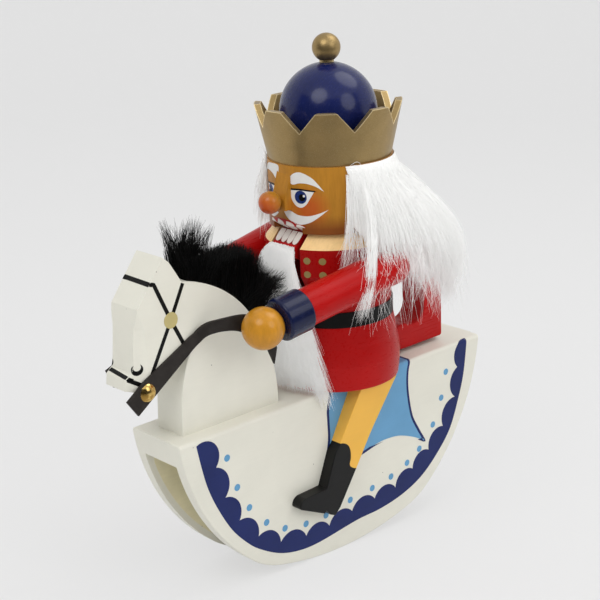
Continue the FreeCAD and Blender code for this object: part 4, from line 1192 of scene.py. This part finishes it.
class HORSE_OT_hair(bpy.types.Operator):
    """Grows the rider's white hair round the back of the head"""

    bl_idname = "rocking_horse.hair"
    bl_label = "Hair"

    EDGE_LEFT, EDGE_RIGHT = 60.0, 37.0      # where the hair starts to either side of the face, degrees
    CROWN = float(measured("crown_ring")[0][2]) + 0.4
    SKIN = 41.0                             # distance of the innermost hair from the rider's axis
    LOCK, FRINGE, STRAYS = 120, 60, 380     # hairs of the smaller parts
    POINTS = 9                              # of each hair

    def execute(self, context):
        sizes = context.scene.horse_sizes
        generator = np.random.default_rng(11)
        paths = np.concatenate([grow(Draws(generator, count)) for grow, count in (
            (self.grow_main, sizes.hair_count), (self.grow_lock, self.LOCK),
            (self.grow_fringe, self.FRINGE), (self.grow_strays, self.STRAYS))])
        paths = off_the_lever(off_the_coat(off_the_arms(paths), top=96.0))
        hairs("rider_hair_fur", paths, millimetres(sizes.hair_width), "white_fur", HORSE_BODY, "rider_hair")
        self.make_core()
        return {"FINISHED"}

    def envelope(self, degrees, z):
        """Distance of the outermost hair from the rider's axis, close by the face and wide behind."""
        left = degrees < 180
        from_front = np.minimum(degrees, 360 - degrees)
        starts, spread = np.where(left, self.EDGE_LEFT, self.EDGE_RIGHT + 35), 70
        flare = np.clip((from_front - starts) / spread, 0, 1) ** 0.8
        heights = (30, 45, 63, 84, 100, 118, 133, 144)
        close = (45, 46, 47, 48, 47.5, 46, 44, 41)
        wide = (64, 74, 83, 86, 79, 64, 46, 41)
        return (1 - flare) * np.interp(z, heights, close) + flare * np.interp(z, heights, wide)

    def grow_main(self, draws):
        """The mass of the hair, in clumps, with its roots in layers under the crown."""
        degrees = draws.even(self.EDGE_LEFT, 360 - self.EDGE_RIGHT)
        layer = draws.even(0, 1) ** 0.6
        root_z = 118 + 27 * layer + draws.near(1.2)
        topmost = self.CROWN - draws.even(0, 0.8)
        root_z = np.where(draws.few(0.3), topmost, np.minimum(root_z, topmost))
        low = np.interp(degrees, (60, 70, 90, 110, 135, 225, 250, 300, 323),
                        (112, 96, 87, 85, 48, 48, 90, 106, 118))
        tip_z = low + draws.near(5) + 38 * draws.even(0, 1) ** 2
        tip_z = np.where(draws.few(0.1), tip_z - draws.even(6, 22), tip_z)
        degrees, layer, root_z, tip_z = (array[:, None] for array in (degrees, layer, root_z, tip_z))
        share = np.linspace(0, 1, self.POINTS)
        z = root_z + (tip_z - root_z) * share ** 1.15
        outer = self.envelope(degrees, z + (self.CROWN - root_z) * (1 - share))
        reach = 40.3 + (outer - self.SKIN) * (0.3 + 0.7 * layer) * np.minimum(1, share * 6 + 0.5)
        turned = degrees + draws.near(3, 1) * share
        turned = turned + np.where(degrees < 80, (80 - degrees) * 0.75, 0.0) * share
        return wavy(clumped(round_head(turned, reach, z), draws, 420, 0.5), draws, 1.5)

    def grow_lock(self, draws):
        """A lock that falls outside the left sleeve."""
        degrees, root_z = draws.even(70, 76), draws.even(125, 140)
        end_z = draws.even(53, 67) - 10 * draws.few(0.1)
        places = (round_head(degrees, 40.5, root_z),
                  round_head(degrees + 2, 52 + draws.even(-2, 2), root_z - 8),
                  round_head(degrees - 2, 68 + draws.even(-2.5, 2.5), 92),
                  round_head(degrees - 13, 68 + draws.near(2), end_z))
        return wavy(clumped(hung(places, self.POINTS), draws, 14, 0.5), draws, 1.2)

    def grow_fringe(self, draws):
        """Thin strands in front of the left ear."""
        degrees, root_z = draws.even(60, 64), draws.even(118, 140)
        places = (round_head(degrees, 40.3, root_z), round_head(degrees, 43, root_z - 10),
                  round_head(degrees - 2, 46, 105),
                  round_head(draws.even(50, 64), draws.even(44.5, 50), draws.even(62, 96)))
        return wavy(hung(places, self.POINTS), draws, 1.6)

    def grow_strays(self, draws):
        """Single hairs that hang every way over the left shoulder and down the back."""
        degrees, root_z = draws.even(62, 160), draws.even(112, 138)
        wide = self.envelope(degrees, np.full(draws.count, 100.0))
        near = (round_head(degrees, 41, root_z), round_head(degrees, 0.5 * (wide + 42), root_z - 8),
                round_head(degrees + draws.near(4), wide * 0.97, 92))
        end_z = draws.even(42, 84)
        end = round_head(degrees + draws.near(9), np.maximum(wide + draws.near(5), 62), end_z)
        return wavy(hung((*near, end), self.POINTS), draws, 2.4)

    def make_core(self):
        """The dense inside of the hair: a closed thick sheet with furrows, over the lever's way."""
        columns, rows = 150, 34
        degrees = np.linspace(self.EDGE_LEFT + 3, 360 - self.EDGE_RIGHT - 3, columns)[:, None]
        low = np.interp(degrees, (60, 75, 110, 135, 155, 160, 200, 205, 225, 250, 300, 323),
                        (112, 98, 96, 66, 60, 97, 97, 60, 66, 98, 104, 120))
        z = low + (self.CROWN - 0.2 - low) * np.linspace(0, 1, rows)
        collar_z, on_head, on_collar, thinnest = 103, 40.1, 45.2, 0.5
        inner = np.where(z > collar_z, on_head, on_collar)
        turn = np.radians(degrees)
        furrows = (np.sin(turn * 31 + 0.05 * z) + 0.7 * np.sin(turn * 53 - 0.08 * z)
                   + 0.5 * np.sin(0.21 * z + turn * 9))
        depth = np.maximum((self.envelope(degrees, z) - self.SKIN) * 0.55, 0)
        edges = np.minimum(1, np.minimum(degrees - degrees[0], degrees[-1] - degrees) / 6) ** 0.5
        outer = 40.6 + (depth + furrows * np.minimum(1.4, 0.12 * depth)) * edges
        walls = [round_head(degrees, reach, z) for reach in (np.maximum(outer, inner + thinnest), inner)]
        points = np.concatenate([wall.reshape(-1, 3) for wall in walls])
        back = columns * rows
        faces = []
        for i in range(columns - 1):
            for j in range(rows - 1):
                a, b = i * rows + j, (i + 1) * rows + j
                faces += [(a, b, b + 1, a + 1), (back + a, back + a + 1, back + b + 1, back + b)]
            a, b = i * rows, (i + 1) * rows
            faces.append((a, back + a, back + b, b))
            a, b = a + rows - 1, b + rows - 1
            faces.append((a, b, back + b, back + a))
        for a in range(rows - 1):
            faces.append((a, a + 1, back + a + 1, back + a))
        for a in range(back - rows, back - 1):
            faces.append((a, back + a, back + a + 1, a + 1))
        new_piece("rider_hair_core", points, faces, "dense_fur")


class HORSE_OT_beard(bpy.types.Operator):
    """Grows the rider's white beard from the jaw down to the seat board"""

    bl_idname = "rocking_horse.beard"
    bl_label = "Beard"

    def execute(self, context):
        sizes = context.scene.horse_sizes
        draws = Draws(np.random.default_rng(23), sizes.beard_count)
        x = draws.even(-LEVER_SIDE, LEVER_SIDE)
        start = together(x, draws.even(-27, -24.2), draws.even(86, 95))
        wing = np.where(x < -5, draws.even(0, 8), 0)
        first = together(1.5 * x - wing, -33, 88)
        second = together(1.9 * x + 2 - wing * 0.4, -32, 60)
        end_x = -10 + 39 * ((x / LEVER_SIDE + 1) / 2) + draws.near(2.5)
        end_y = RIDER_Y - np.sqrt(COAT_RADIUS ** 2 - end_x ** 2) - draws.even(0.5, 7)
        end_z = draws.even(-12, 8)
        end_z = np.where(np.abs(end_x) < SIDE, np.maximum(end_z, draws.even(0.8, 6)), end_z)
        kept = np.where(draws.few(0.45), draws.even(0.45, 0.95), 1.0)
        paths = hung((start, first, second, together(end_x, end_y, end_z)), 10, kept)
        paths = off_the_coat(wavy(clumped(paths, draws, 260, 0.45), draws, 1.2), top=84.0)
        over_board = np.abs(paths[..., 0]) < SIDE + 0.5
        paths[..., 2] = np.where(over_board, np.maximum(paths[..., 2], 0.6), paths[..., 2])
        width = millimetres(sizes.hair_width)
        beard = hairs("rider_beard_fur", paths, width, "white_fur", None, "rider_beard")
        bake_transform(beard)
        return {"FINISHED"}


CREST_HUB_Y, CREST_HUB_Z, CREST_RADIUS = -126.9, 18.6, 76.6      # of the neck from poll to withers


def on_crest(x, y):
    """Places on the crest of the neck."""
    return together(x, y, CREST_HUB_Z + np.sqrt(np.maximum(0, CREST_RADIUS ** 2 - (y - CREST_HUB_Y) ** 2)))


class HORSE_OT_mane(bpy.types.Operator):
    """Grows the horse's black mane and the tuft at its poll"""

    bl_idname = "rocking_horse.mane"
    bl_label = "Mane"

    def execute(self, context):
        sizes = context.scene.horse_sizes
        width = millimetres(sizes.hair_width) * 1.25
        self.grow_tuft(sizes.forelock_count, width * 0.8)
        self.grow_mane(sizes.mane_count, width)
        return {"FINISHED"}

    def grow_tuft(self, count, width):
        """Dense short hairs with a fan of thin pointed strands above them."""
        generator = np.random.default_rng(31)
        strands, front, deep = 34, -108.5, 12.5
        draws, fan = Draws(generator, count), Draws(generator, strands)
        y, x = draws.even(front, front + deep), draws.even(-9.5, 9.5)
        start = on_crest(x, y)
        share = (y - front) / deep
        short_z = draws.even(97, 107)
        short = together(x * 1.05, y - 1.5 + 4 * share + draws.near(1.3), short_z)
        spread = (np.arange(strands) + fan.even(-0.4, 0.4)) / (strands - 1)
        tips = together(fan.even(-10, 10), -116.5 + 34 * spread, 132 - 6.5 * spread - fan.even(0, 7))
        chosen = np.clip(np.round(share * (strands - 1) + draws.near(1.6)), 0, strands - 1).astype(int)
        tip = tips[chosen] + draws.near(0.6, 3)
        reach = draws.even(0.3, 1, 1) ** 0.8
        end = np.where(draws.few(0.4)[:, None], start + (tip - start) * reach, short)
        paths = wavy(bent(start, end, together(0.3 * x, 2.5 - 3.0 * share, 2.0)), draws, 0.6)
        hairs("horse_forelock_fur", paths, width, "black_fur", HORSE_BODY, "horse_forelock")

    def grow_mane(self, count, width):
        """Upright hairs along the crest, and a quarter of them behind it, over the withers."""
        generator = np.random.default_rng(37)
        behind = int(count * 0.25)
        draws = Draws(generator, count - behind)
        y, x = draws.even(-101, -58), draws.even(-11.4, 11.4)
        tip_y = -98 + 46 * (y + 101) / 43 + draws.near(1.8)
        top = np.interp(tip_y, (-100, -91, -80, -61, -56, -52, -49), (97, 99, 104, 106, 103, 97, 89))
        tip_z = top - draws.even(0, 5) - 0.012 * x ** 2
        upright = bent(on_crest(x, y), together(x * 1.05 + draws.near(1), tip_y, tip_z), (0.0, -1.5, 2.0))
        draws = Draws(generator, behind)
        y, x = draws.even(-72, -58), draws.even(-11.4, 11.4)
        tip_y = np.minimum(draws.even(-52, -14), draws.even(-52, -14))
        top = np.interp(tip_y, (-50, -42.8, -25.6, -14.4), (82, 79, 76.9, 65.1))
        tip_z = top - (top - 60) * draws.even(0, 1) ** 2
        trailing = bent(on_crest(x, y), together(x * 1.1 + draws.near(1.5), tip_y, tip_z), (0.0, -3.0, 7.0))
        draws = Draws(generator, count)
        paths = clumped(np.concatenate((upright, trailing)), draws, 260, 0.3)
        hairs("horse_mane_fur", wavy(paths, draws, 0.55), width, "black_fur", HORSE_BODY, "horse_mane")


# ---------------------------------------------------------------- studio

class HORSE_OT_stage(bpy.types.Operator):
    """Makes the floor and backdrop, the lamps and the camera"""

    bl_idname = "rocking_horse.stage"
    bl_label = "Stage"

    def execute(self, context):
        studio = context.scene.horse_studio
        make_backdrop(studio)
        make_lamps(studio)
        make_camera(studio)
        context.scene.view_settings.view_transform = "Standard"
        return {"FINISHED"}


def make_backdrop(studio):
    """A wide round floor whose rim curves up all round."""
    flat, rise, top, steps, around = 1.9, 1.0, 2.4, 12, 96
    profile = [(0.4, 0.0), (flat, 0.0)]
    for bend in (math.pi / 2 * k / steps for k in range(1, steps + 1)):
        profile.append((flat + rise * math.sin(bend), rise * (1 - math.cos(bend))))
    profile.append((flat + rise, top))
    vertices = [(0, 0, 0)] + [(radius * math.cos(math.tau * k / around),
                               radius * math.sin(math.tau * k / around), z)
                              for radius, z in profile for k in range(around)]
    faces = []
    for k in range(around):
        following = (k + 1) % around
        faces.append((0, 1 + k, 1 + following))
        for row in range(1, around * (len(profile) - 1), around):
            faces.append((row + k, row + k + around, row + following + around, row + following))
    mesh = bpy.data.meshes.new("studio_floor")
    mesh.from_pydata(vertices, [], faces)
    mesh.polygons.foreach_set("use_smooth", [True] * len(mesh.polygons))
    light_backdrop(studio)
    mesh.materials.append(MATERIALS["studio_white"])
    floor = add_object("studio_floor", mesh)
    floor.location = (0, 0, CAD_BOX[0].z)


def light_backdrop(studio):
    """Plain floor that looks even; in reflections it is dark in front, as the room behind a camera is."""
    shader = new_shader("studio_white")
    feed(shader, {"Base Color": studio.backdrop, "Roughness": 0.9})
    rays = add_node(shader, "ShaderNodeLightPath").outputs
    seen = arithmetic("MAXIMUM", rays["Is Camera Ray"], rays["Is Glossy Ray"])
    seen = arithmetic("MAXIMUM", seen, rays["Is Transmission Ray"])
    position = add_node(shader, "ShaderNodeNewGeometry").outputs["Position"]
    to_front = (math.sin(studio.azimuth), -math.cos(studio.azimuth), 0)
    starts, full = 0.12, 0.65      # of the dark side, metres from the object
    near = ranged(vectors("DOT_PRODUCT", position, to_front)["Value"], starts, full)
    dark = arithmetic("MULTIPLY", near, rays["Is Glossy Ray"])
    even = add_node(shader, "ShaderNodeEmission",
                    {"Color": blended(dark, studio.backdrop, (0.05, 0.05, 0.05))})
    share = arithmetic("MAXIMUM", dark, arithmetic("MULTIPLY", seen, studio.evenness))
    mix = add_node(shader, "ShaderNodeMixShader",
                   {0: share, 1: shader.outputs["BSDF"], 2: even.outputs["Emission"]})
    feed(shader.id_data.nodes["Material Output"], {"Surface": mix.outputs["Shader"]})


LAMPS = {        # place and width in metres, and power as a share of the key lamp's
    "key_lamp": ((0.35, -1.0, 1.25), 0.9, 1.0), "side_lamp": ((1.3, 0.2, 0.9), 0.9, 0.7),
    "top_lamp": ((0.3, 0.7, 1.5), 1.0, 0.9)}


def make_lamps(studio):
    """Even light from all round and three large soft lamps: in front, at the left and behind."""
    world = bpy.data.worlds.new("studio_sky")
    bpy.context.scene.world = world
    world.use_nodes = True
    feed(world.node_tree.nodes["Background"], {"Color": (1, 1, 1), "Strength": studio.sky})
    middle = (CAD_BOX[0] + CAD_BOX[1]) / 2
    for name, (place, width, share) in LAMPS.items():
        lamp = bpy.data.lights.new(name, "AREA")
        lamp.energy = studio.key * share
        lamp.shape, lamp.size = "DISK", width
        holder = add_object(name, lamp)
        holder.location = place
        holder.rotation_euler = (middle - Vector(place)).to_track_quat("-Z", "Y").to_euler()


def make_camera(studio):
    """Camera that looks past the middle of the object's box by the aim."""
    level = math.cos(studio.elevation)
    back = Vector((math.sin(studio.azimuth) * level, -math.cos(studio.azimuth) * level,
                   math.sin(studio.elevation)))
    camera = bpy.data.cameras.new("camera")
    camera.lens = studio.lens
    holder = add_object("camera", camera)
    holder.location = (CAD_BOX[0] + CAD_BOX[1]) / 2 + Vector(studio.aim) + back * studio.distance
    holder.rotation_euler = back.to_track_quat("Z", "Y").to_euler()
    bpy.context.scene.camera = holder


# ---------------------------------------------------------------- panel and registration

PROPERTY_GROUPS = {"horse_colors": HorseColors, "horse_sizes": HorseSizes, "horse_studio": HorseStudio}
OPERATORS = (HORSE_OT_finishes, HORSE_OT_rocker_paint, HORSE_OT_bridle, HORSE_OT_face, HORSE_OT_mouth,
             HORSE_OT_buttons, HORSE_OT_hair, HORSE_OT_beard, HORSE_OT_mane, HORSE_OT_stage)


class HORSE_PT_panel(bpy.types.Panel):
    """Lists the pieces of the rocking horse"""

    bl_idname = "HORSE_PT_panel"
    bl_label = "Rocking Horse"
    bl_space_type = "VIEW_3D"
    bl_region_type = "UI"
    bl_category = "Rocking Horse"

    def draw(self, context):
        layout = self.layout
        for name, group in PROPERTY_GROUPS.items():
            box = layout.box()
            for setting in group.__annotations__:
                box.prop(getattr(context.scene, name), setting)
        for operator in OPERATORS:
            layout.operator(operator.bl_idname)


def register():
    for name, group in PROPERTY_GROUPS.items():
        bpy.utils.register_class(group)
        setattr(bpy.types.Scene, name, bpy.props.PointerProperty(type=group))
    for operator in OPERATORS:
        bpy.utils.register_class(operator)
    bpy.utils.register_class(HORSE_PT_panel)


def unregister():
    bpy.utils.unregister_class(HORSE_PT_panel)
    for operator in reversed(OPERATORS):
        bpy.utils.unregister_class(operator)
    for name, group in reversed(PROPERTY_GROUPS.items()):
        delattr(bpy.types.Scene, name)
        bpy.utils.unregister_class(group)


def main():
    register()
    for operator in OPERATORS:
        family, name = operator.bl_idname.split(".")
        getattr(getattr(bpy.ops, family), name)()


if __name__ == "__main__":
    main()
